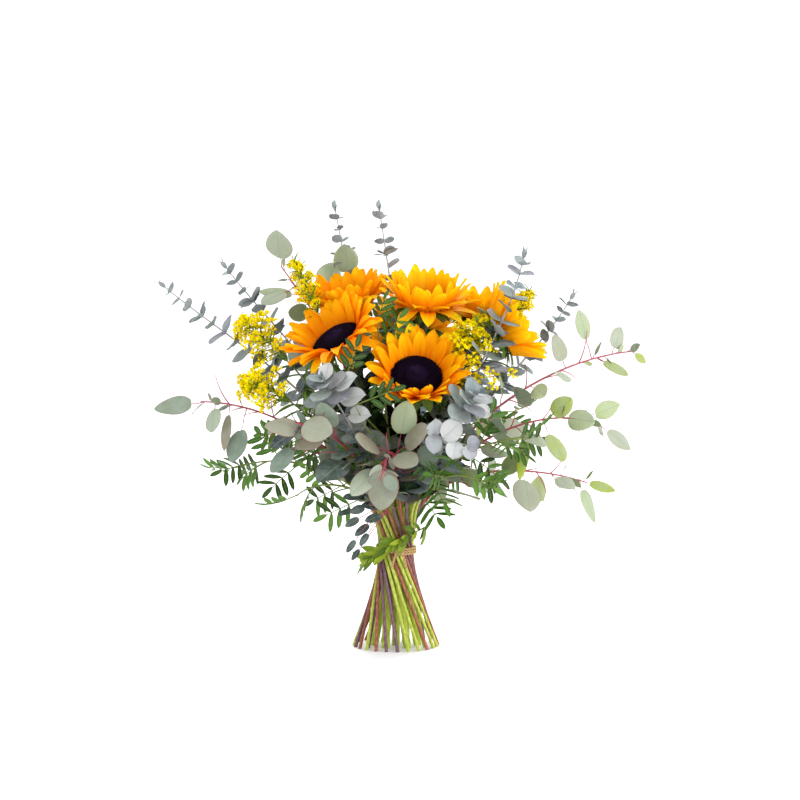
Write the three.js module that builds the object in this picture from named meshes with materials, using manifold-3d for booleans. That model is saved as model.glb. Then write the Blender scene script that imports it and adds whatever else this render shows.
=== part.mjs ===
// A hand-tied bunch of sunflowers with eucalyptus, lentisk and goldenrod, standing on its cut stems.
//
// Millimetres, +Z up, X to the right, -Y towards the front. The origin is the cut end of the middle
// stem. The stems make a spiral bunch: straight lines that lean the same way round a narrow waist,
// so they spread into a foot below it and fan out above it. Each stem then bends to its own place.
import * as THREE from "three";
import Module from "manifold-3d";

const wasm = await Module();
wasm.setup();

// ---- driving dimensions ---------------------------------------------------------------------

const WAIST_HEIGHT = 120;
const SPIRAL_LEAN = 0.02; // sideways lean of a stem, per millimetre of its distance from the middle
const BEND_HEIGHT = 155; // above this the stems leave their straight lines
const SPIRAL_LEAD = 55; // degrees that a stem stands ahead, at the waist, of the side it reaches

const FLOWER_STEM_RADIUS = 4.8;
const FLOWER_RING_RADIUS = 10.4;
const FLOWER_RING_COUNT = 6;
const SPRIG_STEM_RADIUS = 2.1;
const SPRIG_TIP_RADIUS = 0.9;
const INNER_RING_RADIUS = 15.5; // six sprigs in the hollows between the flower stems
const OUTER_RING_RADIUS = 20.2;
const OUTER_RING_COUNT = 24;

const PETAL_THICKNESS = 0.8;
const LEAF_KEEL = 1.2; // depth of a leaf along its midrib
const CLEARANCE = 0.4; // kept between any two pieces that could be taken apart

const DISC_RADIUS = 30;
const DISC_FOOT_RADIUS = 28.5;
const DISC_DOME = 8;
const FLORET_RELIEF = 1.3;
const PETAL_COUNT = 12; // in each of two rows
const PETAL_LENGTH = 41;
const PETAL_WIDTH = 14;
const PLATE_RADIUS = 31; // the plate under the disc, which the petals grow from
const CUP_RADIUS = 24; // the green cup behind it, which the bracts grow from
const BRACT_COUNT = 8;
const BRACT_LENGTH = 25;

const TWINE_RADIUS = 1.5;
const TWINE_TURNS = 3;
const TWINE_SIDES = 12;
const TWINE_CORNER = Math.cos(Math.PI / TWINE_SIDES); // the flats of the band keep clear too

// ---- small mathematics ----------------------------------------------------------------------

const v = (x, y, z) => new THREE.Vector3(x, y, z);
const radians = THREE.MathUtils.degToRad;

// An even-handed jitter between -1 and 1 from two whole numbers.
const jitter = (i, k) => ((i * 37 + k * 61) % 97) / 48 - 1;

// The part of a that is at right angles to the unit vector n, made a unit vector.
const square = (a, n) => a.clone().addScaledVector(n, -a.dot(n)).normalize();

// ---- skins: tubes, blades and rosettes ---------------------------------------------------------

// A closed surface that is built up from rings of points.
class Skin {
  points = [];
  faces = [];

  // Adds a ring and gives the numbers of its points, which run left-handed to a viewer it comes towards.
  ring(points) {
    const first = this.points.length;
    this.points.push(...points);
    return points.map((_, i) => first + i);
  }

  // Walls from one ring to the next. The far half is split the other way, so that both faces of a
  // blade are split alike.
  band(low, high, side = low.map(() => true)) {
    const n = low.length;
    for (let j = 0; j < n; j++) {
      if (!side[j]) continue;
      const [a, b, c, d] = [low[j], low[(j + 1) % n], high[(j + 1) % n], high[j]];
      if (j < n / 2) this.faces.push(a, b, c, a, c, d);
      else this.faces.push(a, b, d, b, c, d);
    }
  }

  // A flat wall over four corners.
  wall([a, b, c, d]) {
    this.faces.push(a, b, c, a, c, d);
  }

  // Closes a ring with a fan to one point, at the start or at the end of the way.
  close(ring, point, atStart = false) {
    const [middle] = this.ring([point]);
    ring.forEach((a, j) => {
      const b = ring[(j + 1) % ring.length];
      this.faces.push(...(atStart ? [middle, b, a] : [middle, a, b]));
    });
  }

  // A blade that grows from four corners of the surface, through sections, to its tip.
  arm(corners, sections, tip) {
    let last = corners;
    for (const section of sections) {
      const next = this.ring(section);
      this.band(last, next);
      last = next;
    }
    this.close(last, tip);
  }

  solid() {
    return new wasm.Manifold(new wasm.Mesh({
      numProp: 3,
      vertProperties: new Float32Array(this.points.flatMap((p) => p.toArray())),
      triVerts: new Uint32Array(this.faces),
    }));
  }
}

// A closed solid through rings of equally many points, with a point at each end.
function loft(first, rings, last) {
  const skin = new Skin();
  const made = rings.map((ring) => skin.ring(ring));
  skin.close(made[0], first, true);
  for (let i = 0; i + 1 < made.length; i++) skin.band(made[i], made[i + 1]);
  skin.close(made.at(-1), last);
  return skin.solid();
}

// The rings of a tube of the given radius at each centre. A level one starts in the plane z = 0.
function tubeRings(centres, radii, sides, level = false) {
  const rings = [];
  let across = null;
  centres.forEach((centre, i) => {
    const before = centres[Math.max(i - 1, 0)];
    const after = centres[Math.min(i + 1, centres.length - 1)];
    const along = after.clone().sub(before).normalize();
    across = square(across ?? v(1, 0.2, 0), along);
    const up = along.clone().cross(across);
    const ring = [];
    for (let j = 0; j < sides; j++) {
      const angle = (2 * Math.PI * j) / sides;
      const point = centre.clone()
        .addScaledVector(across, radii[i] * Math.cos(angle))
        .addScaledVector(up, radii[i] * Math.sin(angle));
      if (level && i === 0) point.addScaledVector(along, -point.z / along.z);
      ring.push(point);
    }
    rings.push(ring);
  });
  return rings;
}

function tube(centres, radii, sides, level = false) {
  return loft(centres[0], tubeRings(centres, radii, sides, level), centres.at(-1));
}

// Outlines: the share of the full width at each share of the length.
const OUTLINES = {
  petal: [[0.4, 1.0], [0.76, 0.7]],
  bract: [[0.5, 0.62]],
  lance: [[0.28, 0.9], [0.66, 0.85]],
  stalked: [[0.24, 0.06], [0.36, 0.72], [0.62, 1.0], [0.86, 0.66]],
};

// Sections: the corners across a blade, as shares of its half width and of its depth.
const RIM_FLAT = [[1, -0.5], [-1, -0.5], [-1, 0.5], [1, 0.5]]; // in the order of a rim's corners
const KEELED = [[1, 0], [0, -1], [-1, 0]];
const NARROWEST = 1.5;

// The middle line of a blade: straight along its direction, and falling back by the square of the way.
function bladePoint(leaf, share) {
  return leaf.at.clone()
    .addScaledVector(leaf.dir, leaf.length * share)
    .addScaledVector(leaf.face, -leaf.arch * leaf.length * share * share);
}

// The sections of a blade along its outline.
function sections(leaf, corners, depth) {
  const across = leaf.dir.clone().cross(leaf.face);
  return OUTLINES[leaf.outline].map(([share, width]) => {
    const centre = bladePoint(leaf, share);
    const along = leaf.dir.clone().addScaledVector(leaf.face, -2 * leaf.arch * share).normalize();
    const normal = square(leaf.face, along);
    const half = Math.max(leaf.width * width, NARROWEST) / 2;
    return corners.map(([side, top]) => centre.clone()
      .addScaledVector(across, side * half)
      .addScaledVector(normal, top * depth));
  });
}

// A leaf: a thin blade with a keel under its midrib, from its root inside the stem to its tip.
const leafSolid = (leaf) => loft(leaf.root, sections(leaf, KEELED, LEAF_KEEL), bladePoint(leaf, 1));

// A petal or a bract by itself, to see whether it is clear.
function petalSolid(leaf) {
  const rings = sections(leaf, RIM_FLAT, PETAL_THICKNESS);
  return loft(leaf.at, rings, bladePoint(leaf, 1));
}

// The same leaf turned about an axis through its root.
function turned(leaf, axis, degrees) {
  return {
    ...leaf,
    dir: leaf.dir.clone().applyAxisAngle(axis, radians(degrees)),
    face: leaf.face.clone().applyAxisAngle(axis, radians(degrees)),
  };
}

// ---- nodes that keep clear of each other ------------------------------------------------------

const nodes = new Map(); // name -> { pieces, colour, roughness }

function node(name, colour, roughness) {
  nodes.set(name, { pieces: [], colour, roughness });
}

// Whether one box starts, on every axis, before the other ends, give or take the clearance.
const startsBefore = (a, b) => [0, 1, 2].every((k) => a.min[k] - CLEARANCE < b.max[k]);
const near = (a, b) => startsBefore(a, b) && startsBefore(b, a);

// Whether a solid keeps its clearance from every piece of every other node.
function isClear(name, solid) {
  const box = solid.boundingBox();
  for (const [other, { pieces }] of nodes) {
    if (other === name) continue;
    for (const piece of pieces) {
      if (near(box, piece.box) && solid.minGap(piece.solid, 1) < CLEARANCE) return false;
    }
  }
  return true;
}

function add(name, solid) {
  nodes.get(name).pieces.push({ solid, box: solid.boundingBox() });
}

const TURNS = [0, 18, -18, 36, -36, 54, -54, 75, -75];

// Adds what make(degrees) gives at the first turn where it is clear; with no such turn it is left out.
function addWhereClear(name, make) {
  for (const degrees of TURNS) {
    const solid = make(degrees);
    if (isClear(name, solid)) {
      add(name, solid);
      return;
    }
  }
}

// ---- the spiral of stems ---------------------------------------------------------------------

// A point of the straight line through the waist at the given radius and azimuth, at a height.
function onLine(radius, azimuth, height) {
  const a = radians(azimuth);
  const [x, y] = [radius * Math.cos(a), radius * Math.sin(a)];
  const lean = SPIRAL_LEAN * (height - WAIST_HEIGHT);
  return v(x + lean * y, y - lean * x, height);
}

// A stem: its straight line from the floor to the bend, then one cubic Bezier curve to its tip.
function stemOf(radius, azimuth, tip, aim, startPull = 0.38, endPull = 0.3) {
  const foot = onLine(radius, azimuth, 0);
  const bend = onLine(radius, azimuth, BEND_HEIGHT);
  const rise = bend.clone().sub(foot).normalize();
  const end = v(...tip);
  const aimed = v(...aim).normalize();
  const span = end.distanceTo(bend);
  const first = bend.clone().addScaledVector(rise, startPull * span);
  const second = end.clone().addScaledVector(aimed, -endPull * span);
  const curve = new THREE.CubicBezierCurve3(bend, first, second, end);
  const chord = end.clone().sub(bend).normalize();
  const side = chord.clone().cross(v(0, 0, 1)).add(v(0.01, 0, 0)).normalize();
  return { foot, curve, side };
}

// The point, the way on and two directions across a stem, at a share of its curved part.
function frameOn(stem, share) {
  const point = stem.curve.getPoint(share);
  const along = stem.curve.getTangent(share).normalize();
  const across = square(stem.side, along);
  return { point, along, across, up: along.clone().cross(across) };
}

// The centres and radii of a stem's tube, up to a share of its curved part.
function stemPath(stem, startRadius, endRadius, steps, share = 1) {
  const centres = [stem.foot];
  const radii = [startRadius];
  for (let i = 0; i <= steps; i++) {
    centres.push(stem.curve.getPoint((share * i) / steps));
    radii.push(startRadius + ((endRadius - startRadius) * i) / steps);
  }
  return [centres, radii];
}

// ---- sunflowers ------------------------------------------------------------------------------

// Each head: the middle of its disc, the way it faces, its place in the ring of flower stems, where -1
// is the middle, how far its front row of petals stands up from the plane of the disc and how far down
// from there the back row stands, both in degrees. On two heads the petals that point to the front fall.
const SUNFLOWERS = [
  { name: "front", at: [25, -75, 332], facing: [0.05, -0.79, 0.61], place: 5, lift: 52, drop: 14 },
  { name: "left", at: [-72, -48, 378], facing: [-0.46, -0.42, 0.78], place: 4, lift: 58, drop: 14,
    fall: 0.8 },
  { name: "back_left", at: [-62, 44, 428], facing: [-0.15, -0.3, 0.94], place: 3, lift: 60, drop: 20 },
  { name: "top", at: [36, -2, 425], facing: [0.08, -0.33, 0.94], place: -1, lift: 75, drop: 55, fall: 0.4 },
  { name: "back_right", at: [108, 58, 414], facing: [0.12, -0.15, 0.98], place: 1, lift: 60, drop: 20 },
  { name: "right", at: [130, -30, 388], facing: [0.85, -0.1, 0.5], place: 0, lift: 60, drop: 14 },
  { name: "back", at: [18, 100, 385], facing: [0.0, 0.87, 0.5], place: 2, lift: 45, drop: 14 },
];

const CUP = [[7, 12], [15, 7.5], [CUP_RADIUS, 4.2], [CUP_RADIUS, 2.4]]; // radius, and depth below the disc
const PLATE_LEVELS = [-0.3, -1.1, -1.9]; // the front row grows above the middle level, the back row below
const petalsOf = (head) => `sunflower_${head.name}_petals`;
const stemOfHead = (head) => `sunflower_${head.name}_stem`;
const BRACT_DROP = 28; // degrees from the front row of petals to the bracts
const DISC_FOOT = 0.2;
const DISC_RIM = 3; // height of the disc's edge over its foot
const FALL_DEGREES = 20; // a petal that falls over also leaves the plate this much lower, times its fall
const RISE_ABOVE = 6; // degrees that the petals at the top of a head stand up more, and so do
const RISE_BELOW = 14; // those at its bottom, which cup the disc
const NECK_BELOW_CUP = 5;
const NECK_SHARE = 0.85; // thickness of the neck, of that of the stem
const FLOWER_STEM_STEPS = 3;

// The head's own directions: out of the face, and two across it.
function headFrame(head) {
  const out = v(...head.facing).normalize();
  const across = square(v(0, 0, 1).cross(out).add(v(0.01, 0, 0)), out);
  return { centre: v(...head.at), out, across, up: out.clone().cross(across) };
}

// A direction in the plane of the disc.
function spoke(frame, degrees) {
  const angle = radians(degrees);
  return frame.across.clone().multiplyScalar(Math.cos(angle))
    .addScaledVector(frame.up, Math.sin(angle));
}

function headRing(frame, radius, height, sides, turn = 0) {
  return Array.from({ length: sides }, (_, j) => frame.centre.clone()
    .addScaledVector(spoke(frame, turn + (360 * j) / sides), radius)
    .addScaledVector(frame.out, height));
}

// A blade that leaves the rim of a plate in the middle of one of its sides.
function rimBlade(frame, turn, sides, side, radius, height, lift, sway, size) {
  const degrees = turn + (360 * (side + 0.5)) / sides;
  const root = spoke(frame, degrees);
  const ray = spoke(frame, degrees + sway);
  const angle = radians(lift);
  return {
    at: frame.centre.clone().addScaledVector(root, radius * Math.cos(Math.PI / sides))
      .addScaledVector(frame.out, height),
    dir: ray.clone().multiplyScalar(Math.cos(angle)).addScaledVector(frame.out, Math.sin(angle)),
    face: frame.out.clone().multiplyScalar(Math.cos(angle)).addScaledVector(ray, -Math.sin(angle)),
    ...size,
  };
}

// The petal on a side of the plate: even sides carry the front row, odd sides the back row.
function petal(head, frame, side) {
  const row = side % 2;
  const i = (side - row) / 2;
  const ray = spoke(frame, (180 * (side + 0.5)) / PETAL_COUNT);
  const fall = (head.fall ?? 0) * Math.max(0, -ray.y);
  const rise = ray.z > 0 ? RISE_ABOVE * ray.z : -RISE_BELOW * ray.z;
  const lift = head.lift - head.drop * row + 3 * jitter(i, 11 + row) + rise - FALL_DEGREES * fall;
  return rimBlade(frame, 0, 2 * PETAL_COUNT, side, PLATE_RADIUS,
    (PLATE_LEVELS[row] + PLATE_LEVELS[row + 1]) / 2, lift, 5 * jitter(i, 7 + row), {
      length: PETAL_LENGTH * (1 + 0.1 * jitter(i, 17 + row)),
      width: PETAL_WIDTH * (1 + 0.08 * jitter(i, 29 + row)),
      arch: 0.06 + 0.06 * row + 0.05 * jitter(i, 23 + row) + fall,
      outline: "petal",
    });
}

// A bract stands behind the back row of petals.
function bract(head, frame, turn, side) {
  const ray = spoke(frame, turn + (360 * (side + 0.5)) / BRACT_COUNT);
  const lift = Math.min(head.lift - BRACT_DROP, 0) + 3 * jitter(side, 3) + 3 * ray.z;
  return rimBlade(frame, turn, BRACT_COUNT, side, CUP_RADIUS, -(CUP[2][1] + CUP[3][1]) / 2, lift, 0,
    { length: BRACT_LENGTH, width: 17, arch: 0.12, outline: "bract" });
}

// Turns a blade up or down at its root, by steps, until it is clear; it is null if it never is.
function hinged(name, leaf, step) {
  const hinge = leaf.dir.clone().cross(leaf.face);
  for (let i = 0; i < 4; i++) {
    const bent = turned(leaf, hinge, step * i);
    if (isClear(name, petalSolid(bent))) return bent;
  }
  return null;
}

// The corners of one side of a rim, between a lower and an upper ring.
function sideOf(low, high, j) {
  const k = (j + 1) % low.length;
  return [low[j], low[k], high[k], high[j]];
}

// A blade on four corners of a rim, or a plain wall where the blade has no clear place.
function growOrWall(skin, corners, leaf) {
  if (leaf) skin.arm(corners, sections(leaf, RIM_FLAT, PETAL_THICKNESS), bladePoint(leaf, 1));
  else skin.wall(corners);
}

// The two rows of petals and their plate, in one skin.
function petals(head, frame) {
  const skin = new Skin();
  const sides = 2 * PETAL_COUNT;
  const rims = PLATE_LEVELS.map((height) => headRing(frame, PLATE_RADIUS, height, sides));
  const [top, middle, low] = rims.map((rim) => skin.ring(rim));
  skin.close(low, frame.centre.clone().addScaledVector(frame.out, PLATE_LEVELS[2]), true);
  skin.close(top, frame.centre.clone().addScaledVector(frame.out, PLATE_LEVELS[0]));
  for (let side = 0; side < sides; side++) {
    const isFront = side % 2 === 0;
    const upper = sideOf(middle, top, side);
    const lower = sideOf(low, middle, side);
    const [grown, bare] = isFront ? [upper, lower] : [lower, upper];
    skin.wall(bare);
    growOrWall(skin, grown, hinged(petalsOf(head), petal(head, frame, side), isFront ? 12 : -8));
  }
  return skin.solid();
}

// The stem, the green cup that carries the head, and the bracts behind the petals, in one skin.
function flowerStem(head, frame, withBracts) {
  const ring = head.place < 0 ? 0 : FLOWER_RING_RADIUS;
  const azimuth = (360 / FLOWER_RING_COUNT) * head.place + SPIRAL_LEAD;
  const neck = frame.centre.clone().addScaledVector(frame.out, -CUP[0][1] - NECK_BELOW_CUP);
  const stem = stemOf(ring, azimuth, neck.toArray(), head.facing, 0.42, 0.28);
  const path = stemPath(stem, FLOWER_STEM_RADIUS, FLOWER_STEM_RADIUS * NECK_SHARE, FLOWER_STEM_STEPS);
  const stalk = tubeRings(...path, BRACT_COUNT, true);
  const start = stalk.at(-1)[0].clone().sub(neck);
  const turn = THREE.MathUtils.radToDeg(Math.atan2(start.dot(frame.up), start.dot(frame.across)));
  const skin = new Skin();
  const cup = CUP.map(([radius, depth]) => headRing(frame, radius, -depth, BRACT_COUNT, turn));
  const rings = [...stalk, ...cup].map((points) => skin.ring(points));
  skin.close(rings[0], stem.foot, true);
  for (let i = 0; i + 2 < rings.length; i++) skin.band(rings[i], rings[i + 1]);
  for (let side = 0; side < BRACT_COUNT; side++) {
    const corners = sideOf(rings.at(-2), rings.at(-1), side);
    growOrWall(skin, corners, withBracts && hinged(stemOfHead(head), bract(head, frame, turn, side), -8));
  }
  skin.close(rings.at(-1), frame.centre.clone().addScaledVector(frame.out, -CUP.at(-1)[1]));
  return skin.solid();
}

// The dark disc: a dome whose florets are a chequer of raised and sunk points, flatter in the middle.
function disc(frame) {
  const sides = 12;
  const rings = [headRing(frame, DISC_FOOT_RADIUS, DISC_FOOT, sides)];
  [1, 0.72, 0.38].forEach((share, i) => {
    const dome = DISC_RIM + DISC_DOME * (1 - share ** 3) * (0.75 + 0.25 * share);
    const ring = headRing(frame, DISC_RADIUS * share, DISC_FOOT + dome, sides, (i % 2) * (180 / sides));
    ring.forEach((point, j) => {
      if (i > 0) point.addScaledVector(frame.out, FLORET_RELIEF * ((i + j) % 2));
    });
    rings.push(ring);
  });
  return loft(frame.centre.clone().addScaledVector(frame.out, DISC_FOOT), rings,
    frame.centre.clone().addScaledVector(frame.out, DISC_FOOT + DISC_RIM + 0.7 * DISC_DOME));
}

// ---- sprigs ----------------------------------------------------------------------------------

// Each sprig: what it is, its ring and place in the waist, where its tip is and the way the tip points,
// for one that arches over, how far its curve is pulled at its two ends, and how wide a plume spreads.
const SPRIGS = [
  { name: "dollar_low_right", kind: "dollar", place: 0, tip: [240, 15, 202], aim: [1, 0.1, -0.35] },
  { name: "dollar_right", kind: "dollar", place: 1, tip: [300, 30, 368], aim: [1, 0, 0.1] },
  { name: "blue_right", kind: "blue", place: 2, tip: [228, 65, 440], aim: [0.5, 0.15, 0.85] },
  { name: "lentisk_back_right", kind: "lentisk", place: 3, tip: [160, 150, 290], aim: [0.7, 0.6, -0.1] },
  { name: "goldenrod_back", kind: "goldenrod", place: 4, tip: [98, 165, 400], aim: [0.4, 0.6, 0.5] },
  { name: "blue_back", kind: "blue", place: 5, tip: [20, 195, 440], aim: [0.05, 0.45, 0.9] },
  { name: "dollar_back", kind: "dollar", place: 6, tip: [-110, 175, 350], aim: [-0.5, 0.7, 0.3] },
  { name: "lentisk_back_left", kind: "lentisk", place: 7, tip: [-150, 140, 260], aim: [-0.7, 0.6, -0.2] },
  { name: "dollar_high_left", kind: "dollar", place: 8, tip: [-150, 80, 480], aim: [-0.6, 0.1, 0.8] },
  { name: "blue_high_left", kind: "blue", place: 9, tip: [-222, 60, 480], aim: [-0.6, 0, 0.8] },
  { name: "blue_left", kind: "blue", place: 10, tip: [-294, 10, 451], aim: [-0.76, 0, 0.65] },
  { name: "goldenrod_left", kind: "goldenrod", place: 11, tip: [-196, -15, 408], aim: [-0.7, -0.1, 0.5] },
  { name: "lentisk_left", kind: "lentisk", place: 12, tip: [-196, -16, 222], aim: [-0.9, 0, -0.4] },
  { name: "dollar_left", kind: "dollar", place: 13, tip: [-236, -60, 304], aim: [-1, -0.1, 0] },
  { name: "goldenrod_front_left", kind: "goldenrod", place: 14, tip: [-184, -84, 330],
    aim: [-0.8, -0.3, 0.2] },
  { name: "lentisk_low_left", kind: "lentisk", place: 15, tip: [-118, -86, 192], aim: [-0.7, -0.3, -0.65] },
  { name: "dollar_front_left", kind: "dollar", place: 16, tip: [-118, -118, 280], aim: [-0.8, -0.5, 0.1] },
  { name: "blue_front_left", kind: "blue", place: 17, tip: [-84, -128, 330], aim: [-0.35, -0.6, 0.7] },
  { name: "dollar_low", kind: "dollar", place: 18, tip: [-18, -128, 212], aim: [-0.2, -0.6, -0.8],
    pulls: [0.38, 0.85] },
  { name: "blue_front_right", kind: "blue", place: 19, tip: [92, -124, 312], aim: [0.35, -0.6, 0.7] },
  { name: "lentisk_low_right", kind: "lentisk", place: 20, tip: [98, -100, 212], aim: [0.7, -0.5, -0.4] },
  { name: "lentisk_right", kind: "lentisk", place: 21, tip: [150, -92, 262], aim: [0.9, -0.3, 0.1] },
  { name: "blue_high_right", kind: "blue", place: 22, tip: [152, -92, 478], aim: [0.15, -0.3, 0.94] },
  { name: "dollar_front_right", kind: "dollar", place: 23, tip: [248, -50, 276], aim: [0.9, 0, -0.4] },
  { name: "goldenrod_high_right", kind: "goldenrod", inner: 0, tip: [172, 20, 450], aim: [0.5, 0, 0.86],
    spread: 0.5 },
  { name: "blue_crown", kind: "blue", inner: 1, tip: [-22, 70, 555], aim: [-0.15, 0.1, 0.98] },
  { name: "blue_top", kind: "blue", inner: 2, tip: [-82, 122, 562], aim: [-0.2, 0.1, 0.98] },
  { name: "goldenrod_high", kind: "goldenrod", inner: 3, tip: [-130, -4, 486], aim: [-0.45, 0, 0.88],
    spread: 0.5 },
  { name: "lentisk_middle", kind: "lentisk", inner: 4, tip: [-22, -56, 394], aim: [-0.1, -0.2, 0.97] },
  { name: "goldenrod_right", kind: "goldenrod", inner: 5, tip: [100, -62, 404], aim: [0.3, -0.4, 0.85],
    spread: 1.15 },
];

const STEM_STEPS = 4;
const STEM_SIDES = 5;
const LAST_ROOT = 0.985; // a leaf at the very tip of a stem starts here, inside its end

function sprigStem(sprig) {
  const inside = sprig.inner !== undefined;
  const radius = inside ? INNER_RING_RADIUS : OUTER_RING_RADIUS;
  const slot = inside
    ? (360 / FLOWER_RING_COUNT) * (sprig.inner + 0.5)
    : (360 / OUTER_RING_COUNT) * sprig.place;
  const stem = stemOf(radius, slot + SPIRAL_LEAD, sprig.tip, sprig.aim, ...(sprig.pulls ?? []));
  return { ...stem, until: sprig.kind === "goldenrod" ? PLUME_START : 1 };
}

// The middle of the tube, which is straight between its rings, at a share of the stem's curved part.
function insideTube(stem, share) {
  const way = (Math.min(share, LAST_ROOT) / stem.until) * STEM_STEPS;
  const ring = Math.floor(way);
  const [low, high] = [ring, ring + 1].map((i) => stem.curve.getPoint((stem.until * i) / STEM_STEPS));
  return low.lerp(high, way - ring);
}

// A leaf on a stem: it leaves at an angle to the stem, at an azimuth round it, facing the stem's tip.
function leafOn(stem, share, azimuth, angle, size) {
  const { point, along, across, up } = frameOn(stem, share);
  const a = radians(azimuth);
  const b = radians(angle);
  const ray = across.multiplyScalar(Math.cos(a)).addScaledVector(up, Math.sin(a));
  return {
    at: point,
    root: insideTube(stem, share),
    dir: along.clone().multiplyScalar(Math.cos(b)).addScaledVector(ray, Math.sin(b)),
    face: along.clone().multiplyScalar(Math.sin(b)).addScaledVector(ray, -Math.cos(b)),
    ...size,
  };
}

// Baby-blue eucalyptus: opposite pairs of round leaves, each pair a quarter turn on from the last.
const BLUE_PAIRS = 5;

function blueLeaves(stem, seed) {
  const leaves = [];
  for (let i = 0; i < BLUE_PAIRS; i++) {
    const share = 0.44 + (0.52 * i) / (BLUE_PAIRS - 1);
    const length = 29 - 12 * (i / (BLUE_PAIRS - 1)) + 2 * jitter(i, seed);
    for (const half of [0, 180]) {
      const azimuth = 90 * (i % 2) + 45 + half + 14 * jitter(i, seed + half + 1);
      leaves.push(leafOn(stem, share, azimuth, 62 + 8 * jitter(i, seed + 2),
        { length, width: 0.8 * length, arch: 0.16, outline: "lance" }));
    }
  }
  return leaves;
}

// Silver-dollar eucalyptus: each leaf hangs by its stalk from a share of the stem to its own tip.
const DOLLAR_LEAVES = {
  dollar_left: [[0.98, [-292, -62, 296], 25], [0.93, [-220, -84, 268], 22], [0.86, [-205, -88, 246], 13],
    [0.78, [-194, -92, 232], 25], [0.64, [-142, -98, 272], 28]],
  dollar_front_left: [[1, [-74, -140, 268], 32], [0.62, [-88, -128, 302], 24], [0.5, [-90, -125, 212], 32],
    [0.72, [-116, -124, 250], 22], [0.85, [-146, -120, 222], 20], [0.94, [-146, -118, 250], 18],
    [0.4, [-36, -122, 232], 20], [0.55, [-66, -134, 238], 26], [0.82, [-152, -128, 276], 24]],
  dollar_low: [[0.86, [-18, -124, 178], 34], [0.5, [14, -122, 304], 28], [0.6, [36, -124, 276], 27],
    [0.95, [0, -128, 200], 14], [0.7, [-52, -122, 196], 24],
    [0.55, [-46, -126, 264], 26], [0.42, [54, -112, 250], 24], [0.75, [24, -130, 232], 26]],
  dollar_high_left: [[1, [-154, 55, 524], 36], [0.8, [-67, 58, 507], 31], [0.9, [-172, 40, 430], 22],
    [0.78, [-140, 66, 420], 25], [0.86, [-176, 56, 446], 13]],
  dollar_right: [[0.84, [232, 20, 420], 21], [0.74, [200, 14, 388], 24], [0.86, [292, 10, 338], 14],
    [0.72, [212, 5, 330], 22], [1, [318, 30, 354], 14], [0.6, [188, 10, 312], 25],
    [0.92, [290, 52, 400], 20]],
  dollar_front_right: [[0.8, [238, -74, 280], 25], [1, [286, -52, 246], 20], [0.72, [200, -90, 234], 24],
    [0.6, [176, -96, 252], 24], [0.66, [150, -100, 226], 14], [0.9, [276, -30, 300], 20],
    [0.5, [122, -104, 262], 24], [0.74, [212, -62, 308], 22]],
  dollar_low_right: [[0.8, [222, -12, 196], 22], [0.97, [276, 10, 192], 12], [0.95, [252, 15, 152], 17],
    [0.66, [164, -34, 170], 34], [0.7, [190, 44, 176], 24]],
  dollar_back: [[0.98, [-150, 196, 372], 28], [0.86, [-70, 204, 330], 26], [0.8, [-120, 190, 290], 26],
    [0.7, [-60, 180, 360], 24], [0.6, [-84, 168, 262], 22], [0.9, [-140, 170, 400], 22]],
};

// A hanging leaf's face turns to the outside of the bunch, with some roll of its own.
function dollarLeaves(stem, seed, name) {
  return DOLLAR_LEAVES[name].map(([share, tip, width], i) => {
    const at = stem.curve.getPoint(share);
    const reach = v(...tip).sub(at);
    const dir = reach.clone().normalize();
    const outward = v(0.4 * tip[0], tip[1] < 60 ? -150 : 150, 60 + 60 * jitter(i, seed));
    const face = square(outward, dir);
    const root = insideTube(stem, share);
    return { at, root, dir, face, length: reach.length(), width, arch: 0, outline: "stalked" };
  });
}

// Lentisk: each leaf is one thin arched blade, cut to its rib between pairs of leaflets.
const FRONDS = 3;
const LEAFLET_PAIRS = 3;
const LEAFLET_ROOT = 0.13; // share of the rib's length that a leaflet grows from
const LEAFLET_LENGTH = 21;
const RIB_WIDTH = 1.6;

function lentiskFrond(leaf) {
  const across = leaf.dir.clone().cross(leaf.face);
  const skin = new Skin();
  const section = (share) => skin.ring(RIM_FLAT.map(([side, top]) => bladePoint(leaf, share)
    .addScaledVector(across, (side * RIB_WIDTH) / 2)
    .addScaledVector(leaf.face, top * PETAL_THICKNESS)));
  let last = section(0.12);
  skin.close(last, leaf.root, true);
  for (let i = 0; i < LEAFLET_PAIRS; i++) {
    const share = 0.36 + 0.22 * i;
    const low = section(share);
    const high = section(share + LEAFLET_ROOT);
    skin.band(last, low);
    skin.band(low, high, [true, false, true, false]);
    for (const [j, side] of [[1, -1], [3, 1]]) {
      const k = (j + 1) % 4;
      const tip = bladePoint(leaf, share + 0.3).addScaledVector(across, side * LEAFLET_LENGTH * 0.85)
        .addScaledVector(leaf.face, -2);
      skin.arm([low[j], low[k], high[k], high[j]], [], tip);
    }
    last = high;
  }
  const wide = bladePoint(leaf, 1.08);
  skin.arm(last, [RIM_FLAT.map(([side, top]) => wide.clone().addScaledVector(across, side * 3.2)
    .addScaledVector(leaf.face, top * PETAL_THICKNESS))], bladePoint(leaf, 1.35));
  return skin.solid();
}

function lentiskLeaves(stem, seed) {
  return Array.from({ length: FRONDS }, (_, i) => leafOn(stem, 0.6 + 0.19 * i,
    137.5 * i + 30 * jitter(i, seed), 48 - 18 * i, { length: 44 - 3 * i, arch: 0.2 }));
}

// Goldenrod: lance leaves on the stem, and a plume of curved side branches set with small heads.
const PLUME_START = 0.76;
const PLUME_BRANCHES = 5;

function goldenrodLeaves(stem, seed) {
  return Array.from({ length: 4 }, (_, i) => leafOn(stem, 0.42 + 0.09 * i,
    137.5 * i + 40 * jitter(i, seed), 55, { length: 40 - 4 * i, width: 9, arch: 0.25, outline: "lance" }));
}

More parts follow.
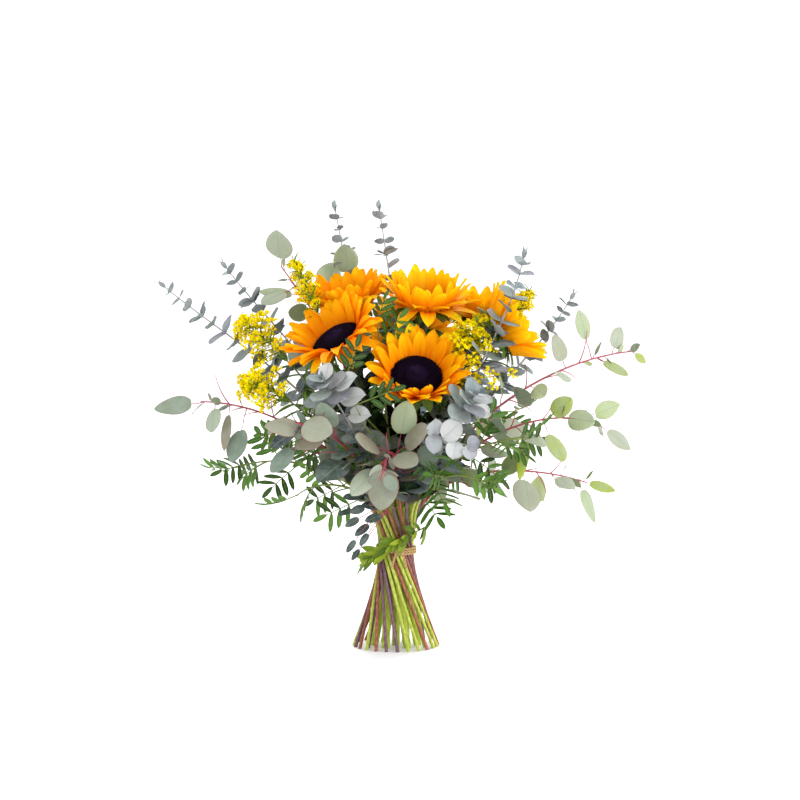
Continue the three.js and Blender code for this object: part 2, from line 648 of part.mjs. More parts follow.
// The middle of the plume: a tube with its radius at each share of the stem. It starts clear of the
// cut of the green stem below it.
const PLUME_CORE = [[PLUME_START, 2.2], [0.84, 2.6], [0.92, 2.2], [1, 1.2]];
const PLUME_GAP = 1.7 * CLEARANCE;

function plumeCore(stem) {
  const centres = PLUME_CORE.map(([share]) => stem.curve.getPoint(share));
  centres[0].addScaledVector(stem.curve.getTangent(PLUME_START).normalize(), PLUME_GAP);
  return tube(centres, PLUME_CORE.map(([, radius]) => radius), 5);
}

// A side branch of the plume: a curved tube that swells at each cluster of small heads.
const PLUME_KNOBS = [[0, 1.3], [0.34, 3.4], [0.58, 1.8], [0.84, 3.1]];

function plumeBranch(stem, seed, i, spread = 1) {
  const share = PLUME_START + 0.04 + ((0.94 - PLUME_START) * i) / PLUME_BRANCHES;
  const length = spread * (38 * (1 - 0.55 * (i / PLUME_BRANCHES)) + 3 * jitter(i, seed));
  const leaf = leafOn(stem, share, 137.5 * i, 44, { length, arch: 0.3 });
  return tube(PLUME_KNOBS.map(([s]) => bladePoint(leaf, s)), PLUME_KNOBS.map(([, r]) => r), 3);
}

// ---- what holds the bunch --------------------------------------------------------------------

// Twine wound tight round the waist: one band with a groove between its turns, and a knot in front.
function twine() {
  const inner = OUTER_RING_RADIUS + SPRIG_STEM_RADIUS + CLEARANCE;
  const step = 2 * TWINE_RADIUS;
  const low = WAIST_HEIGHT - (TWINE_TURNS * step) / 2;
  const groove = inner + 1.3 * TWINE_RADIUS;
  const profile = [[inner, low + TWINE_TURNS * step], [inner, low], [groove, low]];
  for (let i = 0; i < TWINE_TURNS; i++) {
    profile.push([inner + step, low + step * (i + 0.5)]);
    profile.push([groove, low + step * (i + 1)]);
  }
  const band = closedRing(Array.from({ length: TWINE_SIDES }, (_, j) => {
    const a = (2 * Math.PI * j) / TWINE_SIDES;
    return profile.map(([r, z]) => v(r * Math.cos(a) / TWINE_CORNER, r * Math.sin(a) / TWINE_CORNER, z));
  }));
  const front = v(4, -inner - 3.4, WAIST_HEIGHT);
  const parts = [band];
  for (const side of [-1, 1]) {
    parts.push(tube([front.clone().add(v(-side * 4, 0, 3)), front.clone().add(v(side * 6, -3, -7)),
      front.clone().add(v(side * 9, -2, -22))], [2, 1.8, 1.2], 5));
  }
  return wasm.Manifold.union(parts);
}

// A leafy twig laid round the front of the waist, over the twine: a helix that opens at both ends.
const VINE_RADIUS = 1.2;
const VINE_STEPS = 12;
const VINE_LEAVES = 9;

function vinePoint(share) {
  const a = radians(-15 - 185 * share);
  const opening = Math.max(0, Math.abs(share - 0.5) - 0.25);
  const radius = OUTER_RING_RADIUS + SPRIG_STEM_RADIUS + 2 * CLEARANCE + 2 * TWINE_RADIUS + 0.6
    + VINE_RADIUS + 110 * opening ** 1.5;
  return v(radius * Math.cos(a), radius * Math.sin(a), WAIST_HEIGHT + 30 - 50 * share);
}

function vineStem() {
  const centres = Array.from({ length: VINE_STEPS + 1 }, (_, i) => vinePoint(i / VINE_STEPS));
  return tube(centres, centres.map(() => VINE_RADIUS), 4);
}

function vineLeaf(i) {
  const share = 0.04 + (0.94 * i) / (VINE_LEAVES - 1);
  const at = vinePoint(share);
  const along = vinePoint(share + 0.02).sub(at).normalize();
  const outward = v(at.x, at.y, 0).normalize();
  const side = i % 2 ? 1 : -1;
  const dir = along.clone().multiplyScalar(0.7).addScaledVector(v(0, 0, 1), 0.5 * side)
    .addScaledVector(outward, 0.5).normalize();
  const face = square(outward, dir);
  return { at, root: at, dir, face, length: 27 + 3 * jitter(i, 2), width: 12, arch: 0.1, outline: "lance" };
}

// A solid ring through closed sections.
function closedRing(rings) {
  const [m, n] = [rings.length, rings[0].length];
  const faces = [];
  for (let i = 0; i < m; i++) {
    for (let j = 0; j < n; j++) {
      const [a, b] = [i * n + j, i * n + ((j + 1) % n)];
      const [c, d] = [((i + 1) % m) * n + ((j + 1) % n), ((i + 1) % m) * n + j];
      faces.push(a, d, c, a, c, b);
    }
  }
  return new wasm.Manifold(new wasm.Mesh({
    numProp: 3,
    vertProperties: new Float32Array(rings.flat().flatMap((p) => p.toArray())),
    triVerts: new Uint32Array(faces),
  }));
}

// ---- putting the bunch together ----------------------------------------------------------------

const COLOURS = {
  flowerStem: 0x7f9a3c, petals: 0xffae08, disc: 0x24101c, blue: 0x8fa3a0, dollar: 0x7c9480,
  lentisk: 0x5f8a34, goldenrodStem: 0x6f8a3a, goldenrod: 0xf0c60a, twine: 0xb89a6a,
};

// Stems first, so that everything else gives way to them.
const heads = SUNFLOWERS.map((head) => ({ head, frame: headFrame(head) }));
for (const { head, frame } of heads) {
  node(stemOfHead(head), COLOURS.flowerStem, 0.7);
  add(stemOfHead(head), flowerStem(head, frame, false));
}
const sprigs = SPRIGS.map((sprig, i) => ({ sprig, seed: i + 1, stem: sprigStem(sprig) }));
for (const { sprig, stem } of sprigs) {
  const isRod = sprig.kind === "goldenrod";
  const name = sprig.name + (isRod ? "_stem" : "");
  node(name, isRod ? COLOURS.goldenrodStem : COLOURS[sprig.kind], 0.65);
  const path = stemPath(stem, SPRIG_STEM_RADIUS, SPRIG_TIP_RADIUS, STEM_STEPS, isRod ? PLUME_START : 1);
  add(name, tube(...path, STEM_SIDES, true));
  if (isRod) {
    node(sprig.name + "_plume", COLOURS.goldenrod, 0.8);
    add(sprig.name + "_plume", plumeCore(stem));
  }
}

node("twine", COLOURS.twine, 0.9);
add("twine", twine());
node("waist_vine", COLOURS.lentisk, 0.65);
add("waist_vine", vineStem());

// Then the heads, whose petals bend out of each other's way.
for (const { head, frame } of heads) {
  const name = `sunflower_${head.name}_disc`;
  node(name, COLOURS.disc, 0.9);
  add(name, disc(frame));
}
for (const { head, frame } of heads) {
  node(petalsOf(head), COLOURS.petals, 0.55);
  add(petalsOf(head), petals(head, frame));
}
for (const { head, frame } of heads) {
  nodes.get(stemOfHead(head)).pieces.length = 0;
  add(stemOfHead(head), flowerStem(head, frame, true));
}

// Last the foliage, each leaf turned round its stem until it is clear.
for (const { sprig, seed, stem } of sprigs) {
  const axis = stem.curve.getTangent(0.9).normalize();
  if (sprig.kind === "goldenrod") {
    for (let i = 0; i < PLUME_BRANCHES; i++) {
      const solid = plumeBranch(stem, seed, i, sprig.spread);
      if (isClear(sprig.name + "_plume", solid)) add(sprig.name + "_plume", solid);
    }
    for (const leaf of goldenrodLeaves(stem, seed)) {
      addWhereClear(sprig.name + "_stem", (degrees) => leafSolid(turned(leaf, axis, degrees)));
    }
  } else if (sprig.kind === "lentisk") {
    for (const leaf of lentiskLeaves(stem, seed)) {
      addWhereClear(sprig.name, (degrees) => lentiskFrond(turned(leaf, axis, degrees)));
    }
  } else {
    const leaves = sprig.kind === "blue" ? blueLeaves(stem, seed) : dollarLeaves(stem, seed, sprig.name);
    for (const leaf of leaves) {
      addWhereClear(sprig.name, (degrees) => leafSolid(turned(leaf, axis, degrees)));
    }
  }
}

for (let i = 0; i < VINE_LEAVES; i++) {
  const leaf = vineLeaf(i);
  addWhereClear("waist_vine", (degrees) => leafSolid(turned(leaf, leaf.face, degrees)));
}

// Each node is one body: its pieces joined, and any scrap that isn't held left out.
const bunch = new THREE.Group();
for (const [name, { pieces, colour, roughness }] of nodes) {
  const joined = wasm.Manifold.union(pieces.map((piece) => piece.solid));
  const bodies = joined.decompose().sort((a, b) => b.volume() - a.volume());
  const made = bodies[0].getMesh();
  const geometry = new THREE.BufferGeometry()
    .setAttribute("position", new THREE.BufferAttribute(made.vertProperties, 3))
    .setIndex(new THREE.BufferAttribute(made.triVerts, 1));
  const material = new THREE.MeshStandardMaterial({ color: colour, roughness, metalness: 0 });
  const mesh = new THREE.Mesh(geometry, material);
  mesh.name = name;
  bunch.add(mesh);
}

export default bunch;
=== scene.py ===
# %% [markdown]
# # A hand-tied bunch of sunflowers
#
# A florist turns every new stem the same way round the hand, so the stems cross at a narrow waist
# and open into a foot below it. Cut level and tied, such a bunch stands by itself. Here are seven
# sunflowers, two kinds of eucalyptus, lentisk leaves and goldenrod.
#
# Every stem could be modelled by hand, but it is simpler to repeat the few rules that the bunch is
# tied by: a ring and a place in the waist, and the point that the stem reaches. The lengths below
# are in millimetres, and turn to metres only when a mesh is made.

import bpy
import numpy as np
from mathutils import Matrix

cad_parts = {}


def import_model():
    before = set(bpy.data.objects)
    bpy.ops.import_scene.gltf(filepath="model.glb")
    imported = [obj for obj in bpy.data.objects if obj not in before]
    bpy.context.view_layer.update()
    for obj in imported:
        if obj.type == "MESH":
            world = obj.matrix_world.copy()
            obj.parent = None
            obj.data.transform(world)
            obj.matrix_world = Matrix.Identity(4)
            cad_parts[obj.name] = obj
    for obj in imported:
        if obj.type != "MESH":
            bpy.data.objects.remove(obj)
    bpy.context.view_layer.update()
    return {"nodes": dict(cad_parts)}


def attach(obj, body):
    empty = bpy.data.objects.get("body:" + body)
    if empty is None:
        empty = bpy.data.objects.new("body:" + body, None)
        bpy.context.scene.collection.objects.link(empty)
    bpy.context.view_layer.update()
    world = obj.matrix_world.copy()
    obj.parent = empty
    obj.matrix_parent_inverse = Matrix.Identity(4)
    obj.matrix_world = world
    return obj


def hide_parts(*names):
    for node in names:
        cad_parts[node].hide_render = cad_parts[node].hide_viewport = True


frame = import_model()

MM = 0.001

# %% [markdown]
# ## A little vector arithmetic
#
# A Python loop over thousands of points is slow. numpy works on whole arrays at once, so each helper
# takes an array whose last axis holds x, y and z, and any number of points before it.

# %% Vectors
UP = np.array([0.0, 0.0, 1.0])


def unit(a):
    """a divided by its own length."""
    return a / np.linalg.norm(a, axis=-1, keepdims=True)


def dot(a, b):
    """The sum of products over x, y and z, kept as a last axis of one."""
    return np.sum(a * b, axis=-1, keepdims=True)


def square(a, n):
    """What is left of a at right angles to the unit vector n: a - (a.n) n, made a unit vector."""
    return unit(a - dot(a, n) * n)


def turned(a, axis, degrees):
    """a turned about the unit vector axis: a cos t + (axis x a) sin t + axis (axis.a)(1 - cos t)."""
    t = np.radians(np.asarray(degrees, float))[..., None]
    return a * np.cos(t) + np.cross(axis, a) * np.sin(t) + axis * dot(axis, a) * (1 - np.cos(t))


print("x turned a third of the way to y:", turned(np.array([1.0, 0, 0]), UP, 30).round(2))

# %% [markdown]
# No two leaves are alike, yet the bunch has to come out the same each time. So the small differences
# don't come from a random generator but from two rules that scatter whole numbers.

# %% Scattered numbers
TURN = 137.5  # degrees from one leaf to the next round a stem: a full turn in the golden section
GOLDEN_SHARE = 0.618


def jitter(i, seed):
    """A number between -1 and 1 for each whole number i: ((37 i + 61 seed) mod 97) / 48 - 1. Every seed
    gives another row of numbers, and means nothing else."""
    return (np.asarray(i) * 37 + np.asarray(seed) * 61) % 97 / 48 - 1


def golden(k, start=0.0):
    """A share from 0 to 1 for each number k, far from its neighbours' shares: (start + 0.618 k) mod 1."""
    return (start + GOLDEN_SHARE * k) % 1


print("jitter of 0 to 4:", np.round(jitter(np.arange(5), 1), 2))
print("golden shares of 0 to 4:", golden(np.arange(5)).round(2))

# %% [markdown]
# ## From rings of points to a mesh
#
# Stems, petals and leaves are all the same thing to a mesh: a stack of rings with a point at each
# end. A round ring makes a stem. A ring squeezed flat makes a leaf with an upper and a lower side.
# One could extrude each by hand in Edit Mode. Here one function joins the rings of many leaves at
# once, and the surface comes out closed, with its faces pointing outwards.
#
# Each point also keeps a few numbers, its marks: how far along the leaf it is, how far to the side,
# whether it is on the underside, and a tint of its leaf's own. The materials read them.

# %% Rings and lofts
MARKS = ("along", "side", "under", "tint")


class Shape:
    """Points, faces of three or four corners, the material of each face, and the marks of each point."""

    def __init__(self):
        self.points, self.corners, self.sizes, self.skins, self.count = [], [], [], [], 0
        self.marks = {mark: [] for mark in MARKS}

    def add(self, points, faces, skin=0, **marks):
        """Points (m, 3), faces as arrays of their corners, and the marks of the points."""
        for face in faces:
            self.corners.append((face + self.count).ravel())
            self.sizes.append(np.full(len(face), face.shape[1]))
            self.skins.append(np.full(len(face), skin))
        for mark in MARKS:
            self.marks[mark].append(np.broadcast_to(marks.get(mark, 0.0), len(points)))
        self.points.append(points)
        self.count += len(points)

    def loft(self, rings, first, last, skin=0, **marks):
        """Closed surfaces through rings (n, rows, sides, 3), closed by the points first and last (n, 3).
        A mark has the shape (n, rows, sides), or one that broadcasts to it; an end takes its row's mean."""
        n, rows, sides, _ = rings.shape
        each = rows * sides + 2
        points = np.concatenate([first[:, None], rings.reshape(n, -1, 3), last[:, None]], axis=1)
        j = np.arange(sides)
        low = 1 + sides * np.arange(rows - 1)[:, None] + j
        low_next = 1 + sides * np.arange(rows - 1)[:, None] + (j + 1) % sides
        walls = np.stack([low, low_next, low_next + sides, low + sides], axis=-1).reshape(-1, 4)
        start = np.stack([np.zeros(sides, int), 1 + (j + 1) % sides, 1 + j], axis=-1)
        top = 1 + sides * (rows - 1)
        end = np.stack([np.full(sides, each - 1), top + j, top + (j + 1) % sides], axis=-1)
        shift = (each * np.arange(n))[:, None, None]
        faces = [(f[None] + shift).reshape(-1, f.shape[1]) for f in (walls, start, end)]
        spread = {}
        for mark, value in marks.items():
            full = np.broadcast_to(value, (n, rows, sides))
            ends = [full[:, row].mean(axis=1, keepdims=True) for row in (0, -1)]
            spread[mark] = np.concatenate([ends[0], full.reshape(n, -1), ends[1]], axis=1).ravel()
        self.add(points.reshape(-1, 3), faces, skin, **spread)


print("marks of a point:", ", ".join(MARKS))

# %% [markdown]
# A finished shape goes into a mesh in one step. foreach_set copies whole arrays, where adding faces one
# by one would take minutes. Edges sharper than the crease stay sharp, the rest is shaded smooth.

# %% Pieces
def make_piece(name, shape, finishes, node=None, crease=50):
    """Puts a Shape into a mesh piece that rides on the bunch and stands for its node of the solids."""
    mesh = bpy.data.meshes.new(name)
    points = np.concatenate(shape.points) * MM
    corners = np.concatenate(shape.corners)
    sizes = np.concatenate(shape.sizes)
    mesh.vertices.add(len(points))
    mesh.vertices.foreach_set("co", points.ravel().astype(np.float32))
    mesh.loops.add(len(corners))
    mesh.loops.foreach_set("vertex_index", corners.astype(np.int32))
    mesh.polygons.add(len(sizes))
    mesh.polygons.foreach_set("loop_start", (np.cumsum(sizes) - sizes).astype(np.int32))
    mesh.polygons.foreach_set("material_index", np.concatenate(shape.skins).astype(np.int32))
    mesh.update(calc_edges=True)
    for mark in MARKS:
        attribute = mesh.attributes.new(mark, "FLOAT", "POINT")
        attribute.data.foreach_set("value", np.concatenate(shape.marks[mark]).astype(np.float32))
    mesh.shade_smooth()
    mesh.set_sharp_from_angle(angle=np.radians(crease))
    for finish in finishes:
        mesh.materials.append(finish)
    piece = bpy.data.objects.new(name, mesh)
    bpy.context.scene.collection.objects.link(piece)
    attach(piece, "root")
    if node:
        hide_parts(node)
    triangles = int(np.sum(sizes - 2))
    print(f"{name}: {triangles} triangles")
    return triangles


print("a piece's unit:", MM, "m")

# %% [markdown]
# A tube follows a path. At each point of the path the tube needs two directions across it. They are
# worked out from one side vector for the whole path, which keeps the ring from spinning.

# %% Tubes
def tubes(shape, paths, radii, sides=8, skin=0, level=False, side=(0.31, 0.17, 0.05), **marks):
    """Tubes along paths (n, rows, 3) with radii that broadcast to (n, rows, sides).
    A ring's point is centre + r (across cos a + up sin a), with a going once round. A level tube has its
    foot cut off flat on the floor."""
    paths = np.asarray(paths, float)
    along = unit(np.gradient(paths, axis=1))
    across = square(np.broadcast_to(np.asarray(side, float), along.shape), along)
    up = np.cross(along, across)
    a = 2 * np.pi * np.arange(sides) / sides
    ray = across[:, :, None] * np.cos(a)[:, None] + up[:, :, None] * np.sin(a)[:, None]
    radii = np.broadcast_to(radii, ray.shape[:3])
    rings = paths[:, :, None] + ray * radii[..., None]
    if level:
        foot = rings[:, 0]
        rings[:, 0] = foot - along[:, 0, None] * (foot[..., 2:] / along[:, 0, None, 2:])
    rows = paths.shape[1]
    marks.setdefault("along", np.linspace(0, 1, rows)[:, None])
    shape.loft(rings, paths[:, 0], paths[:, -1], skin, **marks)


def through(points, count):
    """A path of count points, evenly spread over the straight lines that join the given ones."""
    points = np.asarray(points, float)
    fine = np.linspace(0, len(points) - 1, count)
    return np.stack([np.interp(fine, np.arange(len(points)), points[:, axis]) for axis in range(3)], axis=1)


def length_along(path):
    """The length of a path up to each of its points."""
    return np.concatenate([[0], np.cumsum(np.linalg.norm(np.diff(path, axis=0), axis=1))])


sample = Shape()
tubes(sample, through([(0, 0, 0), (0, 0, 100)], 6)[None], 2.0)
print("a tube of 6 rings and 8 sides:", sample.count, "points")

# %% [markdown]
# ## Petals and leaves
#
# A petal and a leaf are both a thin blade. Its middle line starts at the root, goes along a
# direction and bends away from its face. At each place on that line the outline says how wide the
# blade is, and the relief how far it lifts: a fold at the midrib, a wavy edge, or pleats.
#
# A flat plane with a Solidify modifier would do the same, but all the leaves of a sprig come out of
# these arrays in one go, each a little different.

# %% Leaves as arrays
def leaf_set(at, dir, face, length, width, arch, tint, twist=0.0):
    """Many leaves as arrays: roots, directions and faces (n, 3), and one number a leaf for the rest."""
    n = len(at)
    numbers = {key: np.broadcast_to(np.asarray(value, float), n) for key, value in
               dict(length=length, width=width, arch=arch, tint=tint, twist=twist).items()}
    return {"at": at, "dir": np.broadcast_to(dir, (n, 3)), "face": np.broadcast_to(face, (n, 3)), **numbers}


def leaf_between(root, tip, face, width, arch, tint):
    """Leaves from roots to tips (n, 3), with faces as near to the given one as a right angle allows."""
    way = unit(tip - root)
    return leaf_set(root, way, square(face, way), np.linalg.norm(tip - root, axis=1), width, arch, tint)


def pick(leaves, which):
    """Some of a set of leaves."""
    return {key: value[which] for key, value in leaves.items()}


def joined(sets):
    """Sets of leaves put into one."""
    return {key: np.concatenate([one[key] for one in sets]) for key in sets[0]}


def blade_point(leaf, share):
    """The middle line of a blade: root + direction L s - face arch L s s. share is a number, or (n, rows)."""
    share = np.asarray(share, float)
    axes = (Ellipsis,) + (None,) * (share.ndim - 1 if share.ndim else 0) + (slice(None),)
    at, along, face = (leaf[key][axes] if share.ndim else leaf[key] for key in ("at", "dir", "face"))
    s = share[..., None]
    length = leaf["length"].reshape(-1, *(1,) * max(share.ndim, 1))
    arch = leaf["arch"].reshape(length.shape)
    return at + along * length * s - face * arch * length * s * s


def blade_lines(leaf, shares):
    """The middle lines of all leaves, (n, rows, 3), at the same shares."""
    return blade_point(leaf, np.broadcast_to(shares, (len(leaf["at"]), len(shares))))


sample_leaf = leaf_set(np.zeros((1, 3)), UP, np.array([0, -1.0, 0]), 40, 10, 0.1, 0.5)
print("a leaf is known by:", ", ".join(sample_leaf))

# %% Blades
def blades(shape, leaf, outline, relief=None, rows=8, steps=4, thick=0.5, skin=0, start=0.0):
    """Blades with an upper and a lower side that share their edge.
    A point is the middle line + across x + normal (z +- thick / 2), with x = v w(s) width / 2 and
    z = relief(s, v, tint) width / 2. v goes from 1 to -1 underneath and back on top."""
    n = len(leaf["at"])
    if n == 0:
        return
    s = start + (1 - start) * (1 - np.cos(np.pi * (np.arange(rows) + 0.5) / rows)) / 2
    v = np.concatenate([np.linspace(1, -1, steps + 1), np.linspace(-1, 1, steps + 1)[1:-1]])
    layer = np.concatenate([[0], -np.ones(steps - 1), [0], np.ones(steps - 1)])
    share = np.broadcast_to(s, (n, rows))
    line = blade_point(leaf, share)
    bend = 2 * (leaf["arch"][:, None] * share)[..., None]
    along = unit(leaf["dir"][:, None] - bend * leaf["face"][:, None])
    normal = square(np.broadcast_to(leaf["face"][:, None], along.shape), along)
    across = np.cross(along, normal)
    roll = leaf["twist"][:, None] * (share - start)
    across, normal = turned(across, along, roll), turned(normal, along, roll)
    half = (leaf["width"] / 2)[:, None] * outline(share)
    lift = 0.0 if relief is None else relief(share[..., None], v, leaf["tint"][:, None, None])
    lift = lift * (leaf["width"] / 2)[:, None, None] + layer * thick / 2 * np.sqrt(1 - v * v + 1e-9)
    rings = (line[:, :, None] + across[:, :, None] * (v * half[..., None])[..., None]
             + normal[:, :, None] * np.broadcast_to(lift, (n, rows, len(v)))[..., None])
    first = blade_point(leaf, start)
    shape.loft(rings, first, blade_point(leaf, 1.0), skin, along=share[..., None], side=v,
               under=(1 - layer) / 2, tint=leaf["tint"][:, None, None])


sample = Shape()
blades(sample, sample_leaf, np.sqrt)
print("a blade of 8 rings and 4 steps across:", sample.count, "points")

# %% Leaf stalks
STALK_SHARE = 0.24  # of a leaf's whole length
STALK_END = STALK_SHARE + 0.02  # a stalk goes a little way into the blade
STALK_TAPER = np.array([1.4, 1.0, 0.9, 0.9, 0.7])
BOW = 0.03  # of the leaf's length


def stalks(shape, leaf, radius=0.55):
    """Thin stalks along the first part of each leaf's middle line, below which they hang in a light bow:
    3 hundredths of the leaf's length times sin(pi s / end)."""
    s = np.linspace(0, STALK_END, len(STALK_TAPER))
    bow = np.sin(np.pi * s / STALK_END)[:, None] * leaf["face"][:, None] * BOW * leaf["length"][:, None, None]
    tubes(shape, blade_lines(leaf, s) - bow, (STALK_TAPER * radius)[:, None], sides=5, along=0.8)


print("a 40 mm leaf has a stalk of", 40 * STALK_SHARE, "mm")

# %% [markdown]
# ## The waist and the stems
#
# Below the bend a stem is a straight line that leans sideways in step with its distance from the
# middle. Lines that lean alike never meet, which is what keeps a spiral bunch open. Above the bend
# the stem is one Bezier curve: it leaves in the direction of the line, and arrives as its tip points.

# %% Stems
WAIST_HEIGHT, BEND_HEIGHT = 120, 155
SPIRAL_LEAN, SPIRAL_LEAD = 0.02, 55
FLOWER_RING, INNER_RING, OUTER_RING = 10.4, 15.5, 20.2
FLOWER_PLACES, OUTER_PLACES = 6, 24
STEM_RADIUS, NECK_RADIUS, SPRIG_RADIUS = 4.8, 4.08, 2.1
STRAIGHT_ROWS = 5


def on_line(radius, azimuth, height):
    """A point of the straight line through the waist: (x + k y, y - k x, height), with k the lean there."""
    a = np.radians(azimuth)
    x, y = radius * np.cos(a), radius * np.sin(a)
    lean = SPIRAL_LEAN * (height - WAIST_HEIGHT)
    return np.array([x + lean * y, y - lean * x, height])


def stem_of(radius, azimuth, tip, aim, start_pull=0.38, end_pull=0.3):
    """A stem's foot, the four points of its Bezier curve, and the side it is measured from."""
    foot, bend = on_line(radius, azimuth, 0), on_line(radius, azimuth, BEND_HEIGHT)
    end, aim = np.array(tip, float), unit(np.array(aim, float))
    span = np.linalg.norm(end - bend)
    curve = np.array([bend, bend + unit(bend - foot) * start_pull * span, end - aim * end_pull * span, end])
    side = unit(np.cross(unit(end - bend), UP) + [0.01, 0, 0])
    return {"foot": foot, "curve": curve, "side": side}


def frame_on(stem, share):
    """The point (1-t)^3 a + 3 (1-t)^2 t b + 3 (1-t) t^2 c + t^3 d, and the ways along, across and up."""
    t = np.atleast_1d(np.asarray(share, float))[:, None]
    a, b, c, d = stem["curve"]
    point = (1 - t) ** 3 * a + 3 * (1 - t) ** 2 * t * b + 3 * (1 - t) * t * t * c + t ** 3 * d
    along = unit((1 - t) ** 2 * (b - a) + 2 * (1 - t) * t * (c - b) + t * t * (d - c))
    across = square(np.broadcast_to(stem["side"], along.shape), along)
    return point, along, across, np.cross(along, across)


def stem_path(stem, until=1.0, rows=26):
    """The foot, a few points of the straight part, and the curve up to a share of it."""
    bend = stem["curve"][0]
    straight = stem["foot"] + (bend - stem["foot"]) * np.linspace(0, 1, STRAIGHT_ROWS + 1)[:-1, None]
    return np.concatenate([straight, frame_on(stem, np.linspace(0, until, rows))[0]])


apart = 2 * OUTER_RING * np.sin(np.pi / OUTER_PLACES)
print(f"outer stems: {apart - 2 * SPRIG_RADIUS:.2f} mm of air between neighbours in the waist")

# %% Leaves on a stem
def leaves_on(stem, share, azimuth, angle, length, width, arch, tint, twist=0.0):
    """Leaves that leave a stem at an angle to it and at an azimuth round it, facing the stem's tip."""
    point, along, across, up = frame_on(stem, share)
    a, b = (np.radians(np.broadcast_to(x, len(point)).astype(float))[:, None] for x in (azimuth, angle))
    ray = across * np.cos(a) + up * np.sin(a)
    return leaf_set(point, along * np.cos(b) + ray * np.sin(b), along * np.sin(b) - ray * np.cos(b),
                    length, width, arch, tint, twist)


trial = leaves_on(stem_of(OUTER_RING, 0, (200, 0, 400), (1, 0, 1)), 0.5, 0, 90, 30, 20, 0, 0)
print("a leaf half way up an outer stem starts at", trial["at"][0].round(), "mm")

# %% [markdown]
# The leaves that the solid has must be in the same place here. In the solid each leaf was turned until
# it was clear of its neighbours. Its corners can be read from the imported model, and a leaf's tip is
# one of them, so the right turn is the one that puts the tip on a corner.

# %% The leaves of the solid
TURNS = (0, 18, -18, 36, -36, 54, -54, 75, -75)
NEAR_CORNER = 0.3  # mm


def as_built(node, leaves, axis, turns=TURNS, reach=1.0):
    """The leaves as the solid holds them: each at the first of the turns that puts its tip on a corner. A
    leaf with no such turn isn't there."""
    mesh = frame["nodes"][node].data
    corners = np.empty(len(mesh.vertices) * 3, np.float32)
    mesh.vertices.foreach_get("co", corners)
    corners = corners.reshape(-1, 3) / MM
    found = np.full(len(leaves["at"]), -1)
    tries = []
    for k, degrees in enumerate(turns):
        trial = dict(leaves, **{key: turned(leaves[key], axis, degrees) for key in ("dir", "face")})
        tips = blade_point(trial, reach)
        gap = np.linalg.norm(tips[:, None] - corners[None], axis=-1).min(axis=1)
        found = np.where((found < 0) & (gap < NEAR_CORNER), k, found)
        tries.append(trial)
    for key in ("dir", "face"):
        stacked = np.stack([trial[key] for trial in tries])
        leaves = dict(leaves, **{key: stacked[np.maximum(found, 0), np.arange(len(found))]})
    if np.any(found != 0):
        print(f"{node}: {np.sum(found > 0)} turned and {np.sum(found < 0)} left out, of {len(found)}")
    return pick(leaves, found >= 0)


print("turns that were tried, in degrees:", TURNS)

# %% [markdown]
# ## Finishes
#
# Petals and leaves let light through. A Translucent shader beside the Principled one gives the glow
# of a petal with the light behind it. Colours are written as sRGB hex values, as a paint program
# shows them, and Blender wants linear ones, so one function turns them.

# %% Colours and nodes
def linear(hex_colour):
    """sRGB to linear: c / 12.92 up to 0.04045, and ((c + 0.055) / 1.055) ^ 2.4 above."""
    c = np.array([int(hex_colour[k:k + 2], 16) for k in (1, 3, 5)]) / 255
    c = np.where(c <= 0.04045, c / 12.92, ((c + 0.055) / 1.055) ** 2.4)
    return (*c, 1.0)


def add(tree, kind, inputs=(), stops=(), **settings):
    """Adds a shader node. settings are its options, stops a ramp's places and colours, and inputs its
    socket values by name or number: a number, a colour, a node (its first output) or a socket to link."""
    node = tree.nodes.new("ShaderNode" + kind)
    for option, value in settings.items():
        setattr(node, option, value)
    if stops:
        ramp = node.color_ramp.elements
        while len(ramp) < len(stops):
            ramp.new(0.5)
        for element, (place, colour) in zip(ramp, stops):
            element.position, element.color = place, linear(colour)
    for key, value in dict(inputs).items():
        socket = next(s for k, s in enumerate(node.inputs) if s.enabled and key in (k, s.name))
        if isinstance(value, bpy.types.Node):
            value = next(s for s in value.outputs if s.enabled)
        if isinstance(value, bpy.types.NodeSocket):
            tree.links.new(value, socket)
        else:
            socket.default_value = value
    return node


def new_finish(name):
    """An empty material: its tree, its output, and sockets for the marks of a piece's points."""
    finish = bpy.data.materials.new(name)
    finish.use_nodes = True
    tree = finish.node_tree
    tree.nodes.clear()
    marks = {mark: add(tree, "Attribute", attribute_name=mark).outputs["Fac"] for mark in MARKS}
    return finish, tree, add(tree, "OutputMaterial"), marks


def over(tree, colour, top, value, start, end, most=1.0):
    """A colour with another over it, whose share goes from 0 to most while a value goes from start to end."""
    share = add(tree, "MapRange", {"Value": value, "From Min": start, "From Max": end, "To Max": most})
    return add(tree, "Mix", {"Factor": share, "A": colour, "B": linear(top)}, data_type="RGBA")


def ramp_of(tree, colours, mark):
    """Colours at even distances along a mark."""
    stops = [(k / (len(colours) - 1), colour) for k, colour in enumerate(colours)]
    return add(tree, "ValToRGB", {"Fac": mark}, stops=stops)


def show(tree, output, colour, surface, glow=0.0):
    """Ends a finish: a Principled surface, mixed by the glow with light that comes through from behind."""
    shader = add(tree, "BsdfPrincipled", {"Base Color": colour, **surface})
    if glow:
        behind = add(tree, "BsdfTranslucent", {"Color": colour})
        shader = add(tree, "MixShader", {0: glow, 1: shader, 2: behind})
    tree.links.new(shader.outputs[0], output.inputs[0])


print("linear #FFBE00:", np.round(linear("#FFBE00")[:3], 3))

# %% [markdown]
# ### Sunflower petal
#
# A ray floret is a soft, waxless skin full of carotene: orange at its root, golden towards the tip,
# with fine grooves along it. It could be one ramp along the petal. A second pattern stretched along
# the grooves breaks it up, so that each petal has paler and deeper streaks.

